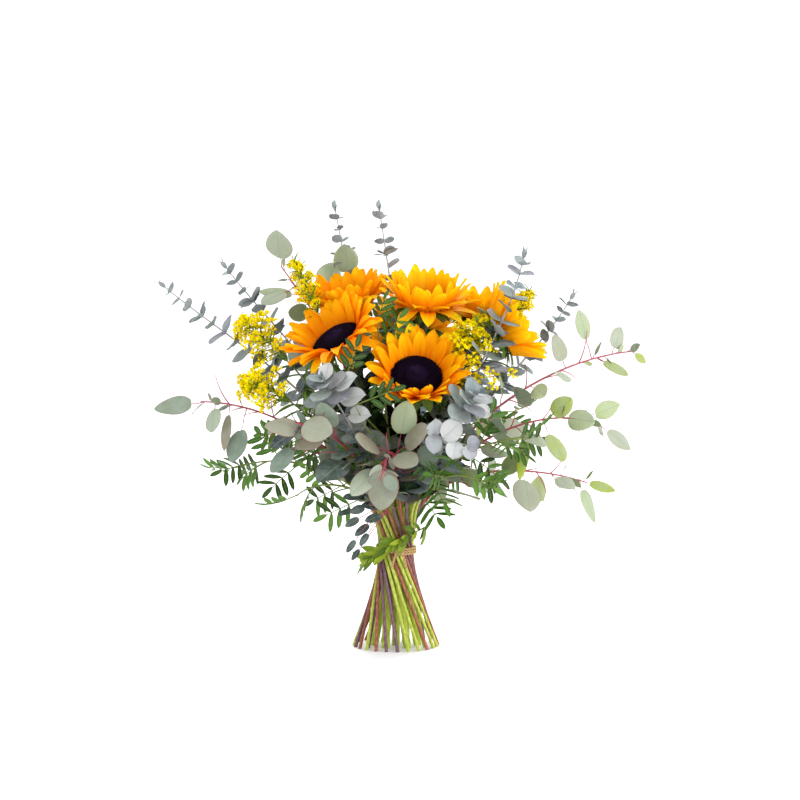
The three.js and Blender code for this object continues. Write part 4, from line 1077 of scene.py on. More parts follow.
reaches = [np.linalg.norm(stem["curve"][3] - stem["foot"]) for _, _, stem in all_sprigs()]
print("a sprig is", round(min(reaches)), "to", round(max(reaches)), "mm long")

# %% [markdown]
# ### Baby-blue eucalyptus
#
# The leaves sit in pairs, each pair a quarter turn on from the last, without stalks. They are round,
# a bit cupped, smaller towards the tip, and end in a bud of four small ones. The solid has five
# pairs. More pairs lower on the stem, and small ones between, fill it out. Where the photo shows one
# leaf by itself, a row says where on the stem it starts, where its tip is and how wide it is.

# %% Leaves at a place
BACK_HALF, AWAY = 60, 150.0


def outside(at, seed):
    """Away from the bunch and a little up: forwards in its front half, backwards behind it."""
    return np.stack([0.4 * at[:, 0], np.where(at[:, 1] < BACK_HALF, -AWAY, AWAY),
                     60 + 60 * jitter(np.arange(len(at)), seed)], axis=1)


def columns(rows):
    """The three columns of rows of a share, a point and a width."""
    return (np.array([row[k] for row in rows], float) for k in range(3))


def placed_leaves(stem, rows, seed, tint):
    """Leaves that leave the stem at a share of its curve and reach a point."""
    share, tip, width = columns(rows)
    return leaf_between(frame_on(stem, share)[0], tip, outside(tip, seed), width, 0.0, tint)


def oval_outline(s):
    """An egg shape: 2.15 (t + 0.02)^0.48 (1 - t)^0.66, with t the share past the stalk."""
    t = past_stalk(s)
    return 2.15 * (t + 0.02) ** 0.48 * (1 - t) ** 0.66


print("an egg-shaped leaf is widest at", oval_outline(np.linspace(0, 1, 101)).argmax(), "% of its length")

# %% Baby-blue leaves
BLUE_PAIRS, LOW_PAIRS, PAIRS_BETWEEN, ROSETTE_LEAVES = 5, 5, 11, 9
ROSETTES = ("blue_front_left", "blue_front_right")
LARGER = {"blue_high_right": 1.35, "blue_left": 1.15, "blue_high_left": 1.15}
# A twig in front whose leaves are painted whitish: sunlight on pale wax.
SUNLIT_LEAF_TWIG = ((38, -84, 262), (44, -112, 265), (56, -122, 262), (70, -124, 257), (84, -124, 253))
SUNLIT_PALE_LEAVES = ((1, (46, -132, 285), 20), (2, (76, -134, 281), 27), (1, (44, -133, 243), 21),
                (3, (66, -134, 237), 23), (4, (98, -130, 258), 20), (4, (88, -132, 236), 19))
STALKED_LEAVES = {
    "blue_front_left": ((0.82, (-34, -134, 312), 24), (0.9, (-44, -136, 334), 24),
                        (0.72, (-28, -128, 288), 22)),
    "blue_top": ((0.74, (-68, 100, 512), 33),),
}


def round_outline(s):
    """Nearly a circle, a little wider near the root: sqrt(4 s (1 - s)) (1.06 - 0.14 s)."""
    return np.sqrt(np.maximum(4 * s * (1 - s), 0)) * (1.06 - 0.14 * s)


def cupped_relief(s, v, tint):
    """A shallow fold, a cup that some leaves have and others turn over, and a slow wave."""
    return 0.1 * np.abs(v) + 0.3 * (tint - 0.4) * v * v + 0.08 * np.sin(6 * s + 20 * tint) * v


def blue_leaves(stem, seed, name):
    """The pairs of the solid, shorter towards the tip, each a quarter turn on from the last."""
    i, half = np.divmod(np.arange(2 * BLUE_PAIRS), 2)
    half = 180 * half
    length = 29 - 12 * i / (BLUE_PAIRS - 1) + 2 * jitter(i, seed)
    main = leaves_on(stem, 0.44 + 0.52 * i / (BLUE_PAIRS - 1),
                     90 * (i % 2) + 45 + half + 14 * jitter(i, seed + half + 1), 62 + 8 * jitter(i, seed + 2),
                     length, 0.8 * length, 0.16, 0.75 * golden(2 * i + half / 180, 0.17 * seed))
    return as_built(name, main, frame_on(stem, 0.9)[1])


def more_blue_leaves(stem, seed, name):
    """Pairs below those of the solid, and small pairs between and above them."""
    i, half = np.divmod(np.arange(2 * (LOW_PAIRS + PAIRS_BETWEEN)), 2)
    up = np.maximum(i - LOW_PAIRS, 0) / PAIRS_BETWEEN
    share = np.where(i < LOW_PAIRS, 0.16 + 0.06 * i, 0.47 + 0.5 * up)
    length = np.where(i < LOW_PAIRS, 28 + 2 * jitter(i, seed), 27 - 17 * up ** 1.6 + 2 * jitter(i, seed + 4))
    length = length * LARGER.get(name, 1)
    more = leaves_on(stem, share, 90 * (i % 2) + 180 * half + 20 * jitter(i, seed + 9),
                     66 + 12 * jitter(i, seed + 5), length, 0.85 * length, 0.12 + 0.1 * jitter(i, seed + 6),
                     0.75 * golden(i, 0.29 * seed))
    open_face = square(more["face"] + 0.8 * unit(outside(more["at"], seed)), more["dir"])
    return out_of_bowls(dict(more, face=open_face))


def rosette(stem, seed):
    """Large round leaves that crowd the end of a stem which was pinched off, and open like a rose:
    the angle to the stem falls from 86 degrees outside to 54 in the middle."""
    k = np.arange(ROSETTE_LEAVES)
    return leaves_on(stem, 0.86 + 0.14 * k / (ROSETTE_LEAVES - 1), TURN * k + 30,
                     86 - 4 * k + 6 * jitter(k, seed), 35 - 1.8 * k + 2 * jitter(k, seed + 1), 33 - 1.7 * k,
                     0.02, 0.5 + 0.5 * jitter(k, seed))


def sunlit_leaf_twig(shape, stem):
    """A side twig with six round leaves painted whitish, as sunlight on pale wax, from the stem to the front,
    where the photo shows them. The first column of their rows is the point of the twig that they sit on."""
    path = through(np.concatenate([frame_on(stem, 0.34)[0], SUNLIT_LEAF_TWIG]), 24)
    tubes(shape, path[None], np.linspace(1.0, 0.5, 24)[:, None], sides=6, along=0.8)
    place, tips, width = columns(SUNLIT_PALE_LEAVES)
    roots = np.array(SUNLIT_LEAF_TWIG, float)[place.astype(int)]
    # Tints at the white end of the ramp: painted sunlight on the leaves.
    leaves = leaf_between(roots, tips, np.array([0.15, -1, 0.3]), width, 0.0,
                          0.87 + 0.12 * jitter(np.arange(len(tips)), 4))
    blades(shape, leaves, round_outline, cupped_relief, rows=8, steps=6, skin=1)


print("leaves of a baby-blue sprig: up to", 2 * (BLUE_PAIRS + LOW_PAIRS + PAIRS_BETWEEN))

# %% Baby-blue sprigs
def blue_piece(name, seed, stem):
    """Stem, pairs of leaves, the bud at the tip, and what only some sprigs have: a rosette, a twig of leaves
    painted whitish as sunlit, leaves on stalks. The top one's stalked leaf is a green one, the others are
    whitish."""
    shape = Shape()
    stem_tube(shape, stem, tip=0.7)
    blades(shape, blue_leaves(stem, seed, name), round_outline, cupped_relief, rows=7, steps=4, skin=1)
    more = more_blue_leaves(stem, seed, name)
    if name in ROSETTES:
        more = pick(more, slice(0, 18))
        blades(shape, rosette(stem, seed), round_outline, cupped_relief, rows=8, steps=4, skin=1)
    blades(shape, more, round_outline, cupped_relief, rows=6, steps=4, skin=1)
    if name == "blue_front_right":
        sunlit_leaf_twig(shape, stem)
    if name in STALKED_LEAVES:
        tint, skin = (0.86, 2) if name == "blue_top" else (0.98, 1)
        stalked = placed_leaves(stem, STALKED_LEAVES[name], 4, tint)
        stalks(shape, stalked)
        blades(shape, stalked, oval_outline, cupped_relief, rows=9, steps=6, skin=skin, start=STALK_SHARE)
    tip = leaves_on(stem, np.array([0.985, 0.985, 1, 1]), np.array([0, 180, 90, 270]), 14, 11, 5.5, 0.1, 0.6)
    blades(shape, tip, round_outline, cupped_relief, rows=5, steps=4, skin=1)
    return make_piece(name + "_sprig", shape, [TWIG_GREY, BLUE_LEAF, DOLLAR_LEAF], name)


print("rosettes:", ", ".join(ROSETTES))

# %% [markdown]
# ### Silver-dollar eucalyptus
#
# Its leaves hang by thin red stalks, each where the table puts its tip. They are rounder and larger
# than the others and stand in front, so they get many rows of points.

# %% The table of silver-dollar leaves
# Where on the stem's curve a leaf starts, where its tip is, and its width.
DOLLAR_LEAVES = {
    "dollar_left": ((0.98, (-292, -62, 296), 25), (0.93, (-220, -84, 268), 22), (0.86, (-205, -88, 246), 13),
                    (0.78, (-194, -92, 232), 25), (0.64, (-142, -98, 272), 28)),
    "dollar_front_left": ((1, (-74, -140, 268), 32), (0.62, (-88, -128, 302), 24),
                          (0.5, (-90, -125, 212), 32), (0.72, (-116, -124, 250), 22),
                          (0.85, (-146, -120, 222), 20),
                          (0.94, (-146, -118, 250), 18), (0.4, (-36, -122, 232), 20),
                          (0.55, (-66, -134, 238), 26), (0.82, (-152, -128, 276), 24)),
    "dollar_low": ((0.86, (-18, -124, 178), 34), (0.5, (14, -122, 304), 28), (0.6, (36, -124, 276), 27),
                   (0.95, (0, -128, 200), 14), (0.7, (-52, -122, 196), 24), (0.55, (-46, -126, 264), 26),
                   (0.42, (54, -112, 250), 24), (0.75, (24, -130, 232), 26)),
    "dollar_high_left": ((1, (-154, 55, 524), 36), (0.8, (-67, 58, 507), 31), (0.9, (-172, 40, 430), 22),
                         (0.78, (-140, 66, 420), 25), (0.86, (-176, 56, 446), 13)),
    "dollar_right": ((0.84, (232, 20, 420), 21), (0.74, (200, 14, 388), 24), (0.86, (292, 10, 338), 14),
                     (0.72, (212, 5, 330), 22), (1, (318, 30, 354), 14), (0.6, (188, 10, 312), 25),
                     (0.92, (290, 52, 400), 20)),
    "dollar_front_right": ((0.8, (238, -74, 280), 25), (1, (286, -52, 246), 20), (0.72, (200, -90, 234), 24),
                           (0.6, (176, -96, 252), 24), (0.66, (150, -100, 226), 14),
                           (0.9, (276, -30, 300), 20), (0.5, (122, -104, 262), 24),
                           (0.74, (212, -62, 308), 22)),
    "dollar_low_right": ((0.8, (222, -12, 196), 22), (0.97, (276, 10, 192), 12), (0.95, (252, 15, 152), 17),
                         (0.66, (164, -34, 170), 34), (0.7, (190, 44, 176), 24)),
    "dollar_back": ((0.98, (-150, 196, 372), 28), (0.86, (-70, 204, 330), 26), (0.8, (-120, 190, 290), 26),
                    (0.7, (-60, 180, 360), 24), (0.6, (-84, 168, 262), 22), (0.9, (-140, 170, 400), 22)),
}
HANGING_LEAVES = ((0.1, (-42, -50, 178), 12), (0.14, (-56, -60, 170), 11), (0.06, (-38, -46, 158), 12),
                  (0.18, (-64, -62, 188), 12), (0.12, (-62, -48, 152), 10), (0.08, (-50, -42, 140), 11),
                  (0.16, (-70, -50, 166), 9), (0.1, (-44, -44, 128), 9), (0.14, (-60, -46, 120), 9),
                  (0.12, (-36, -46, 176), 13), (0.16, (-52, -56, 192), 13), (0.08, (-54, -40, 110), 8))
print("silver-dollar leaves in the table:", sum(map(len, DOLLAR_LEAVES.values())) + len(HANGING_LEAVES))

# %% Silver-dollar leaves
# Painted light and shade: the range of tints of each sprig, slate where it stands in shade, lime where it
# stands in the sun.
DOLLAR_PAINTED_LIGHT_AND_SHADE = {"right": (0.7, 1), "high": (0.76, 0.88), "dollar_left": (0.3, 0.9),
                 "dollar_low": (0.3, 0.86)}
OTHER_PAINTED_LIGHT_AND_SHADE = (0, 0.78)
LOW_LEAVES, YOUNG_LEAVES, SIDE_TWIGS = 11, 5, 9
WIDER_DOLLAR = 1.1


def dollar_relief(s, v, tint):
    """A fold at the midrib, a wave along the edges, and an edge that rolls down on some leaves."""
    return 0.12 * np.abs(v) - 0.2 * tint * v * v + 0.07 * np.sin(8 * s + 25 * tint) * v


def dollar_tints(name, seed, count):
    """Tints that paint light and shade: slate to mint as painted shade on the shaded left, mint at the top,
    and mint to lime as painted sunlight on the sunny right and far left.
    """
    low, high = next((shade for word, shade in DOLLAR_PAINTED_LIGHT_AND_SHADE.items() if word in name), OTHER_PAINTED_LIGHT_AND_SHADE)
    return low + (high - low) * golden(np.arange(count), 0.23 * seed)


def dollar_leaves(stem, seed, name):
    """The leaves of the table, as the solid has them, with a slight bend."""
    rows = DOLLAR_LEAVES[name]
    leaves = placed_leaves(stem, rows, seed, dollar_tints(name, seed, len(rows)))
    built = as_built(name, leaves, frame_on(stem, 0.9)[1])
    return dict(built, arch=np.full(len(built["at"]), 0.03), width=built["width"] * WIDER_DOLLAR)


def on_longer_stalks(shape, leaves, widths=1.65, limit=21):
    """Leaves wider than a limit, whose blade would be longer than so many widths, get it that long, on a
    longer stalk."""
    long = leaves["length"]
    short = np.minimum(long, widths / (1 - STALK_SHARE) * leaves["width"])
    short = np.where(leaves["width"] > limit, short, long)
    root = leaves["at"] + leaves["dir"] * (long - short)[:, None]
    path = np.linspace(leaves["at"], root + leaves["dir"], 4, axis=1)
    tubes(shape, path, STALK_TAPER[:4, None] * 0.6, sides=5, along=0.8)
    return dict(leaves, at=root, length=short)


def more_dollar_leaves(stem, seed, name):
    """Leaves on the lower half of the stem, in its own shade, and small young ones near its tip."""
    i = np.arange(LOW_LEAVES + YOUNG_LEAVES)
    low = i < LOW_LEAVES
    share = np.where(low, 0.12 + 0.04 * i, 0.8 + 0.045 * (i - LOW_LEAVES))
    length = np.where(low, 46 + 8 * jitter(i, seed), 22 + 4 * jitter(i, seed))
    width = np.where(low, 27 + 5 * jitter(i, seed + 3), 9 + 2 * jitter(i, seed + 3))
    return out_of_bowls(leaves_on(stem, share, TURN * i + 40 * seed, 52 + 18 * jitter(i, seed + 1), length,
                                  width, 0.08 + 0.08 * jitter(i, seed + 2),
                                  dollar_tints(name, seed + 2, len(i))))


print("shades:", DOLLAR_PAINTED_LIGHT_AND_SHADE)

# %% Silver-dollar sprigs
def dollar_piece(name, seed, stem):
    """Stem, bare side twigs, and leaves on stalks. One sprig has small leaves that hang beside the neck."""
    shape = Shape()
    stem_tube(shape, stem)
    sets = [on_longer_stalks(shape, dollar_leaves(stem, seed, name)), more_dollar_leaves(stem, seed, name)]
    if name == "dollar_front_left":
        sets.append(on_longer_stalks(shape, placed_leaves(stem, HANGING_LEAVES, seed, 0.04), 2.0, 0))
    k = np.arange(SIDE_TWIGS)
    twigs = out_of_bowls(leaves_on(stem, 0.3 + 0.07 * k, TURN * k + 20 * seed, 46, 36 + 8 * jitter(k, seed),
                                   4, 0.25, 0.8))
    tubes(shape, blade_lines(twigs, np.linspace(0, 1, 8)), np.linspace(0.9, 0.35, 8)[:, None], sides=5,
          along=0.8)
    for leaves in sets:
        stalks(shape, leaves)
        blades(shape, leaves, oval_outline, dollar_relief, rows=11, steps=6, skin=1, start=STALK_SHARE)
    return make_piece(name + "_sprig", shape, [TWIG_RED, DOLLAR_LEAF], name)


print("silver-dollar sprigs:", len(DOLLAR_LEAVES))

# %% [markdown]
# ### Lentisk
#
# A lentisk leaf is a rib with three pairs of leaflets and one at its end. The leaflets are narrow
# ovals, leathery and shining. The solid has three leaves on a sprig, and lower ones are added.

# %% Lentisk leaves
FRONDS, LEAFLET_PAIRS, LEAFLET_REACH, MORE_REACH, FRONT_REACH = 3, 3, 21, 25, 18
FIRST_PAIR, PAIR_STEP, FROND_END, RIB_ROWS = 0.36, 0.22, 1.35, 7
FRONT_FRONDS = ((0.3, (-34, -96, 266), (-47, -126, 300), (-5, -140, 317)),
                (0.4, (-56, -96, 300), (-60, -114, 328), (-46, -122, 368)))


def narrow_outline(s):
    """A narrow oval, fuller past its middle: (4 s (1 - s))^0.6 (0.9 + 0.2 s)."""
    return (4 * s * (1 - s)) ** 0.6 * (0.9 + 0.2 * s)


def folded_relief(s, v, tint):
    """A clear fold at the midrib, with the tip bent down."""
    return 0.3 * np.abs(v) - 0.25 * s * s


def leaflets_of(leaf, seed, reach):
    """Pairs of leaflets from the rib at shares 0.36, 0.58 and 0.80, and the end leaflet."""
    number = np.arange(len(leaf["at"]))
    across = np.cross(leaf["dir"], leaf["face"])
    sets = []
    for i in range(LEAFLET_PAIRS):
        share = FIRST_PAIR + PAIR_STEP * i
        root = blade_point(leaf, share + 0.065)
        for side in (-1, 1):
            tip = blade_point(leaf, share + 0.3) + across * side * reach * 0.85 - leaf["face"] * 2
            sets.append(leaf_between(root, tip, leaf["face"], 6.6 + 0.8 * jitter(number, seed + i), 0.06,
                                     (0.31 * seed + 0.4 * number + 0.07 * i * side) % 1))
    sets.append(leaf_between(blade_point(leaf, 0.98), blade_point(leaf, FROND_END), leaf["face"], 7.0, 0.05,
                             (0.31 * seed + 0.4 * number) % 1))
    return joined(sets)


def add_fronds(shape, fronds, seed, reach, shade=1.0, rib=0.9):
    """The ribs of fronds as thin tubes, and their leaflets."""
    lines = blade_lines(fronds, np.linspace(0, 1.02, RIB_ROWS))
    tubes(shape, lines, np.linspace(rib, 0.5, RIB_ROWS)[:, None], sides=5, along=0.7)
    leaflets = leaflets_of(fronds, seed, reach)
    leaflets = dict(leaflets, tint=leaflets["tint"] * shade)
    blades(shape, leaflets, narrow_outline, folded_relief, rows=6, steps=4, skin=1)


def lentisk_leaves(stem, seed, name):
    """The fronds of the solid, shorter and steeper towards the tip."""
    i = np.arange(FRONDS)
    fronds = leaves_on(stem, 0.6 + 0.19 * i, TURN * i + 30 * jitter(i, seed), 48 - 18 * i, 44 - 3 * i, 6,
                       0.2, 0.5)
    return as_built(name, fronds, frame_on(stem, 0.9)[1], reach=FROND_END)


print("leaflets of a frond:", 2 * LEAFLET_PAIRS + 1)

# %% Fronds in front
def front_fronds(shape, stem):
    """Two fronds on long stalks, which stand before the petals of the two front heads: rows of the share at
    which the stalk leaves the stem, a point on its way, and the two ends of the rib."""
    for share, *points in FRONT_FRONDS:
        start, bend, end = np.concatenate([frame_on(stem, share)[0], np.array(points[:2], float)])
        t = np.linspace(0, 1, 12)[:, None]
        path = (1 - t) ** 2 * start + 2 * (1 - t) * t * bend + t * t * end
        tubes(shape, path[None], np.linspace(1.0, 0.7, 12)[:, None], sides=5, along=0.7)
        root, tip = np.array(points[1:], float)[:, None]
        frond = leaf_between(root, tip, np.array([[0.1, -1, 0.25]]), 6, 0.08, 0.5)
        add_fronds(shape, frond, 3, FRONT_REACH, shade=0.1, rib=0.8)


print("fronds in front:", len(FRONT_FRONDS))

# %% Lentisk sprigs
def lentisk_piece(name, seed, stem):
    """Stem, the fronds of the solid, and others that turn to the outside. The low sprigs have fewer."""
    shape = Shape()
    stem_tube(shape, stem)
    i = np.arange(3 if "low" in name else 7)
    more = leaves_on(stem, 0.3 + 0.1 * i, TURN * i + 70 + 30 * jitter(i, seed + 2), 64 - 4 * i, 54 - 2 * i, 6,
                     0.18 + 0.1 * jitter(i, seed), 0.5)
    more = out_of_bowls(dict(more, face=square(outside(more["at"], seed), more["dir"])), FROND_END)
    for fronds, reach in ((lentisk_leaves(stem, seed, name), LEAFLET_REACH), (more, MORE_REACH)):
        add_fronds(shape, fronds, seed, reach)
    if name == "lentisk_middle":
        front_fronds(shape, stem)
    return make_piece(name + "_sprig", shape, [TWIG_GREEN, LENTISK_LEAF], name)


print("fronds of a sprig:", FRONDS, "in the solid, and up to 7 more")

# %% [markdown]
# ### Goldenrod
#
# The plume is a stem with curved side branches, and on each branch sit dozens of tiny yellow heads.
# There are thousands of them, so one head is only a small burr of thirty faces. Hair particles could
# place them, but a rule along each branch keeps them where they grow.

# %% Goldenrod plume
PLUME_START, PLUME_BRANCHES, FINE_BRANCHES, PER_CLUMP, CLUMPS = 0.76, 5, 12, 11, 3
SPREAD = {"goldenrod_high": 0.5, "goldenrod_high_right": 0.5, "goldenrod_right": 1.15}
LOW_BRANCHES = ((0.7, (78, -98, 372), 3), (0.62, (92, -90, 359), 3), (0.62, (112, -88, 340), 3),
                (0.56, (118, -90, 325), 3), (0.66, (144, -76, 338), 3), (0.72, (112, -84, 371), 3))


def lance_outline(s):
    """Narrow, widest near the root: (4 s (1 - s))^0.7 (1.15 - 0.35 s)."""
    return (4 * s * (1 - s)) ** 0.7 * (1.15 - 0.35 * s)


def burrs(shape, at, way, size, tint, skin):
    """Small heads: a foot of 0.45 sizes, and 1.6 sizes above the root a star whose five rays reach 1.25
    sizes and whose notches 0.55."""
    across = square(np.broadcast_to([0.3, 0.2, 0.9], way.shape), way)
    up = np.cross(way, across)
    a = 2 * np.pi * np.arange(10) / 10
    ray = across[:, None] * np.cos(a)[:, None] + up[:, None] * np.sin(a)[:, None]
    star = np.where(np.arange(10) % 2, 0.55, 1.25)
    foot, top, wide = 0.5 * size[:, None, None], 1.6 * size[:, None, None], 0.45 * size[:, None, None]
    rays = (star * size[:, None])[..., None]
    rings = np.stack([at[:, None] + ray * wide + way[:, None] * foot,
                      at[:, None] + ray * rays + way[:, None] * top], axis=1)
    shape.loft(rings, at, at + way * (1.35 * size)[:, None], skin, tint=tint[:, None, None])


def plume_branches(stem, seed, name):
    """The five branches of the solid, finer ones between them, and on one sprig others that reach points."""
    i = np.arange(PLUME_BRANCHES)
    main = leaves_on(stem, PLUME_START + 0.04 + (0.94 - PLUME_START) * i / PLUME_BRANCHES, TURN * i, 44,
                     38 * (1 - 0.55 * i / PLUME_BRANCHES) + 3 * jitter(i, seed), 3.2, 0.3, 0.5)
    k = np.arange(FINE_BRANCHES)
    fine = leaves_on(stem, PLUME_START + 0.22 * k / FINE_BRANCHES, TURN * k + 60, 48 + 8 * jitter(k, seed),
                     32 - 17 * k / FINE_BRANCHES + 4 * jitter(k, seed + 1), 3, 0.35, 0.5)
    spread = SPREAD.get(name, 1)
    sets = [dict(part, length=spread * part["length"]) for part in (main, fine)]
    if name == "goldenrod_right":
        sets.append(placed_leaves(stem, LOW_BRANCHES, seed, 0.5))
    return joined(sets)


def plume_heads(branches):
    """Where the small heads sit: three clumps on each branch, each a spiral whose radius grows as the root
    of the number in it. Returns their roots and their ways."""
    m, k = np.arange(len(branches["at"]))[:, None], np.arange(CLUMPS * PER_CLUMP)
    clump, place = k % CLUMPS, k // CLUMPS
    s = 0.34 + 0.3 * clump + 0.07 * jitter(m, k)
    a = np.radians(TURN * place + 60 * m + 40 * clump)[..., None]
    across = np.cross(branches["dir"], branches["face"])[:, None]
    ray = unit(across * np.cos(a) + branches["face"][:, None] * (0.3 + np.sin(a)))
    roots = blade_point(branches, s) + ray * (0.6 + 1.1 * np.sqrt(place))[:, None]
    ways = unit(ray + 0.7 * branches["dir"][:, None])
    return roots.reshape(-1, 3), ways.reshape(-1, 3)


print("heads of a plume:", CLUMPS * PER_CLUMP * (PLUME_BRANCHES + FINE_BRANCHES))

# %% Goldenrod sprigs
ROD_LEAVES, MORE_ROD_LEAVES, PLUME_LEAVES, BRANCH_ROWS = 4, 16, 34, 7


def goldenrod_pieces(name, seed, stem):
    """A green piece, the stem with its lance leaves, and a yellow one, the plume on the end of the stem with
    its branches, small leaves and heads. The plume starts 0.7 mm past the stem, as in the solids."""
    green, yellow = Shape(), Shape()
    stem_tube(green, stem, PLUME_START, 1.0)
    i = np.arange(ROD_LEAVES)
    leaves = leaves_on(stem, 0.42 + 0.09 * i, TURN * i + 40 * jitter(i, seed), 55, 40 - 4 * i, 9, 0.25,
                       golden(i, 0.2 * seed))
    leaves = as_built(name + "_stem", leaves, frame_on(stem, 0.9)[1])
    k = np.arange(MORE_ROD_LEAVES)
    more = out_of_bowls(leaves_on(stem, 0.16 + 0.037 * k, TURN * k + 90, 50 + 10 * jitter(k, seed), 44 - k,
                                  8.5, 0.3, golden(k, 0.37 * seed)))
    for blade in (leaves, more):
        blades(green, blade, lance_outline, folded_relief, rows=7, steps=4, skin=1)
    way = frame_on(stem, np.linspace(PLUME_START, 1, 9))[0]
    way[0] += 0.7 * unit(way[1] - way[0])
    tubes(yellow, way[None], np.linspace(1.1, 0.6, 9)[:, None], sides=6)
    branches = plume_branches(stem, seed, name)
    tubes(yellow, blade_lines(branches, np.linspace(0, 1, BRANCH_ROWS)),
          np.linspace(0.7, 0.35, BRANCH_ROWS)[:, None], sides=4)
    j = np.arange(PLUME_LEAVES)
    small = leaves_on(stem, PLUME_START - 0.04 + 0.26 * j / PLUME_LEAVES, TURN * j + 20,
                      46 + 12 * jitter(j, seed), 26 - 0.4 * j, 4, 0.3, 1.0)
    blades(yellow, small, lance_outline, folded_relief, rows=5, steps=4, skin=2)
    heads, ways = plume_heads(branches)
    number = np.arange(len(heads))
    size = (1.2 + 0.6 * SPREAD.get(name, 1)) * (1 + 0.25 * jitter(number, seed))
    burrs(yellow, heads, ways, size, golden(number), 1)
    return (make_piece(name + "_stalk", green, [TWIG_GREEN, ROD_LEAF], name + "_stem")
            + make_piece(name + "_flowers", yellow, [TWIG_GREEN, ROD_FLORET, ROD_LEAF],
                         name + "_plume"))


print("lance leaves of a goldenrod:", ROD_LEAVES + MORE_ROD_LEAVES + PLUME_LEAVES)

# %% Make the sprigs
MAKERS = {"blue": blue_piece, "dollar": dollar_piece, "lentisk": lentisk_piece, "goldenrod": goldenrod_pieces}
for name, seed, stem in all_sprigs():
    total += MAKERS[name.split("_")[0]](name, seed, stem)
print("with the sprigs:", total, "triangles")

# %% [markdown]
# ## What holds the bunch
#
# The tie is jute twine, wound three times round the waist and knotted in front. It is a tube along a
# helix whose section has two lobes that turn as it goes, as two plies do. A leafy twig goes round
# over it.

# %% Twine
TWINE_TURNS, TWINE_RADIUS, CLEARANCE = 3, 1.5, 0.4
BAND_RADIUS = OUTER_RING + SPRIG_RADIUS + CLEARANCE
LAY = 9.0  # mm of twine for one turn of its plies
TWINE_END = ((4, 0.4, 3), (0, -1.4, 1), (-4, -1.6, -3), (-6, -2.6, -9), (-8, -2.4, -16), (-9, -2, -22))


def twisted(shape, path, radius):
    """A tube whose radius has two lobes, r (1 + 0.18 cos 2(a - t)), with t one turn for each lay of its
    length. It is painted darker between the lobes, as shade in the grooves."""
    a = 2 * np.pi * np.arange(8) / 8
    wave = np.cos(2 * (a[None] - 2 * np.pi * length_along(path)[:, None] / LAY))[None]
    # The tint paints shade in the grooves between the plies.
    tubes(shape, path[None], radius * (1 + 0.18 * wave), side=(0, 0, 1.0), tint=(0.5 + 0.5 * wave) * 0.8)


def twine_piece():
    """A helix of three turns, two ends that are mirror images, and a loop for the knot in front."""
    shape = Shape()
    t = np.linspace(0, 1, 150 * TWINE_TURNS)
    angle = 2 * np.pi * TWINE_TURNS * t - np.pi / 2
    ring = BAND_RADIUS + TWINE_RADIUS
    height = WAIST_HEIGHT + 2 * TWINE_RADIUS * TWINE_TURNS * (t - 0.5)
    twisted(shape, np.stack([ring * np.cos(angle), ring * np.sin(angle), height], axis=1), TWINE_RADIUS)
    front = np.array([4, -BAND_RADIUS - 3.4, WAIST_HEIGHT])
    for side in (1, -1):
        twisted(shape, through(front + np.array(TWINE_END) * [side, 1, 1], 40), 1.3)
    a = np.linspace(0, 2 * np.pi, 40)
    loop = np.stack([4.2 * np.cos(a), -1.6 + 1.4 * np.sin(2 * a), 3.6 * np.sin(a)], axis=1)
    twisted(shape, front + loop, 1.4)
    return make_piece("twine_tie", shape, [TWINE], "twine")


print("the twine's three turns are", round(2 * np.pi * BAND_RADIUS * TWINE_TURNS), "mm long")

# %% Leafy twig round the waist
VINE_LEAVES, SMALL_VINE_LEAVES, VINE_RADIUS = 9, 26, 1.1
VINE_AIR, VINE_HALF = 0.6, 1.2  # mm between twine and twig, and from the twig's skin to its middle
VINE_RING = BAND_RADIUS + CLEARANCE + 2 * TWINE_RADIUS + VINE_AIR + VINE_HALF


def vine_point(share):
    """A helix that goes down from the right of the front to the left, and opens at both ends: its radius
    grows by 110 times the opening to the power 1.5."""
    share = np.asarray(share, float)
    a = np.radians(-15 - 185 * share)
    opening = np.maximum(0, np.abs(share - 0.5) - 0.25)
    radius = VINE_RING + 110 * opening ** 1.5
    return np.stack([radius * np.cos(a), radius * np.sin(a), WAIST_HEIGHT + 30 - 50 * share], axis=-1)


def vine_leaves(share, up_side, length, width, tint):
    """Leaves that point along the twig, outwards, and up or down by their side."""
    at = vine_point(share)
    along = unit(vine_point(share + 0.02) - at)
    outward = unit(at * [1, 1, 0])
    way = unit(along * 0.7 + UP * 0.5 * up_side[:, None] + outward * 0.5)
    return leaf_set(at, way, square(outward, way), length, width, 0.1, tint)


def vine_piece():
    """The twig, its nine leaves as in the solid, and small ones between them."""
    shape = Shape()
    tubes(shape, vine_point(np.linspace(0, 1, 40))[None], VINE_RADIUS, sides=7)
    i = np.arange(VINE_LEAVES)
    leaves = vine_leaves(0.04 + 0.94 * i / (VINE_LEAVES - 1), np.where(i % 2, 1, -1),
                         27 + 3 * jitter(i, 2), 10.0, golden(i, 0.4))
    built = as_built("waist_vine", leaves, leaves["face"])
    blades(shape, built, lance_outline, folded_relief, rows=8, steps=4, skin=1)
    k = np.arange(SMALL_VINE_LEAVES)
    up_side = np.where(k % 2, -1, 1) * (0.7 + 0.5 * jitter(k, 5))
    small = vine_leaves(0.02 + 0.94 * k / (SMALL_VINE_LEAVES - 1), up_side, 20 + 5 * jitter(k, 3), 6.5,
                        golden(k))
    blades(shape, small, lance_outline, folded_relief, rows=6, steps=4, skin=1)
    return make_piece("waist_twig", shape, [TWIG_GREEN, VINE_LEAF], "waist_vine")


total += twine_piece() + vine_piece()
print("whole bunch:", total, "triangles")

# %% [markdown]
# ## Floor, light and camera
#
# The bunch stands on a white floor under a bright sky. The strongest light comes wide and soft from
# behind and above, which makes petals and leaves glow, and a soft box on the right fills the front. A
# white world gives the light from everywhere. One white world alone would leave the leaves flat.

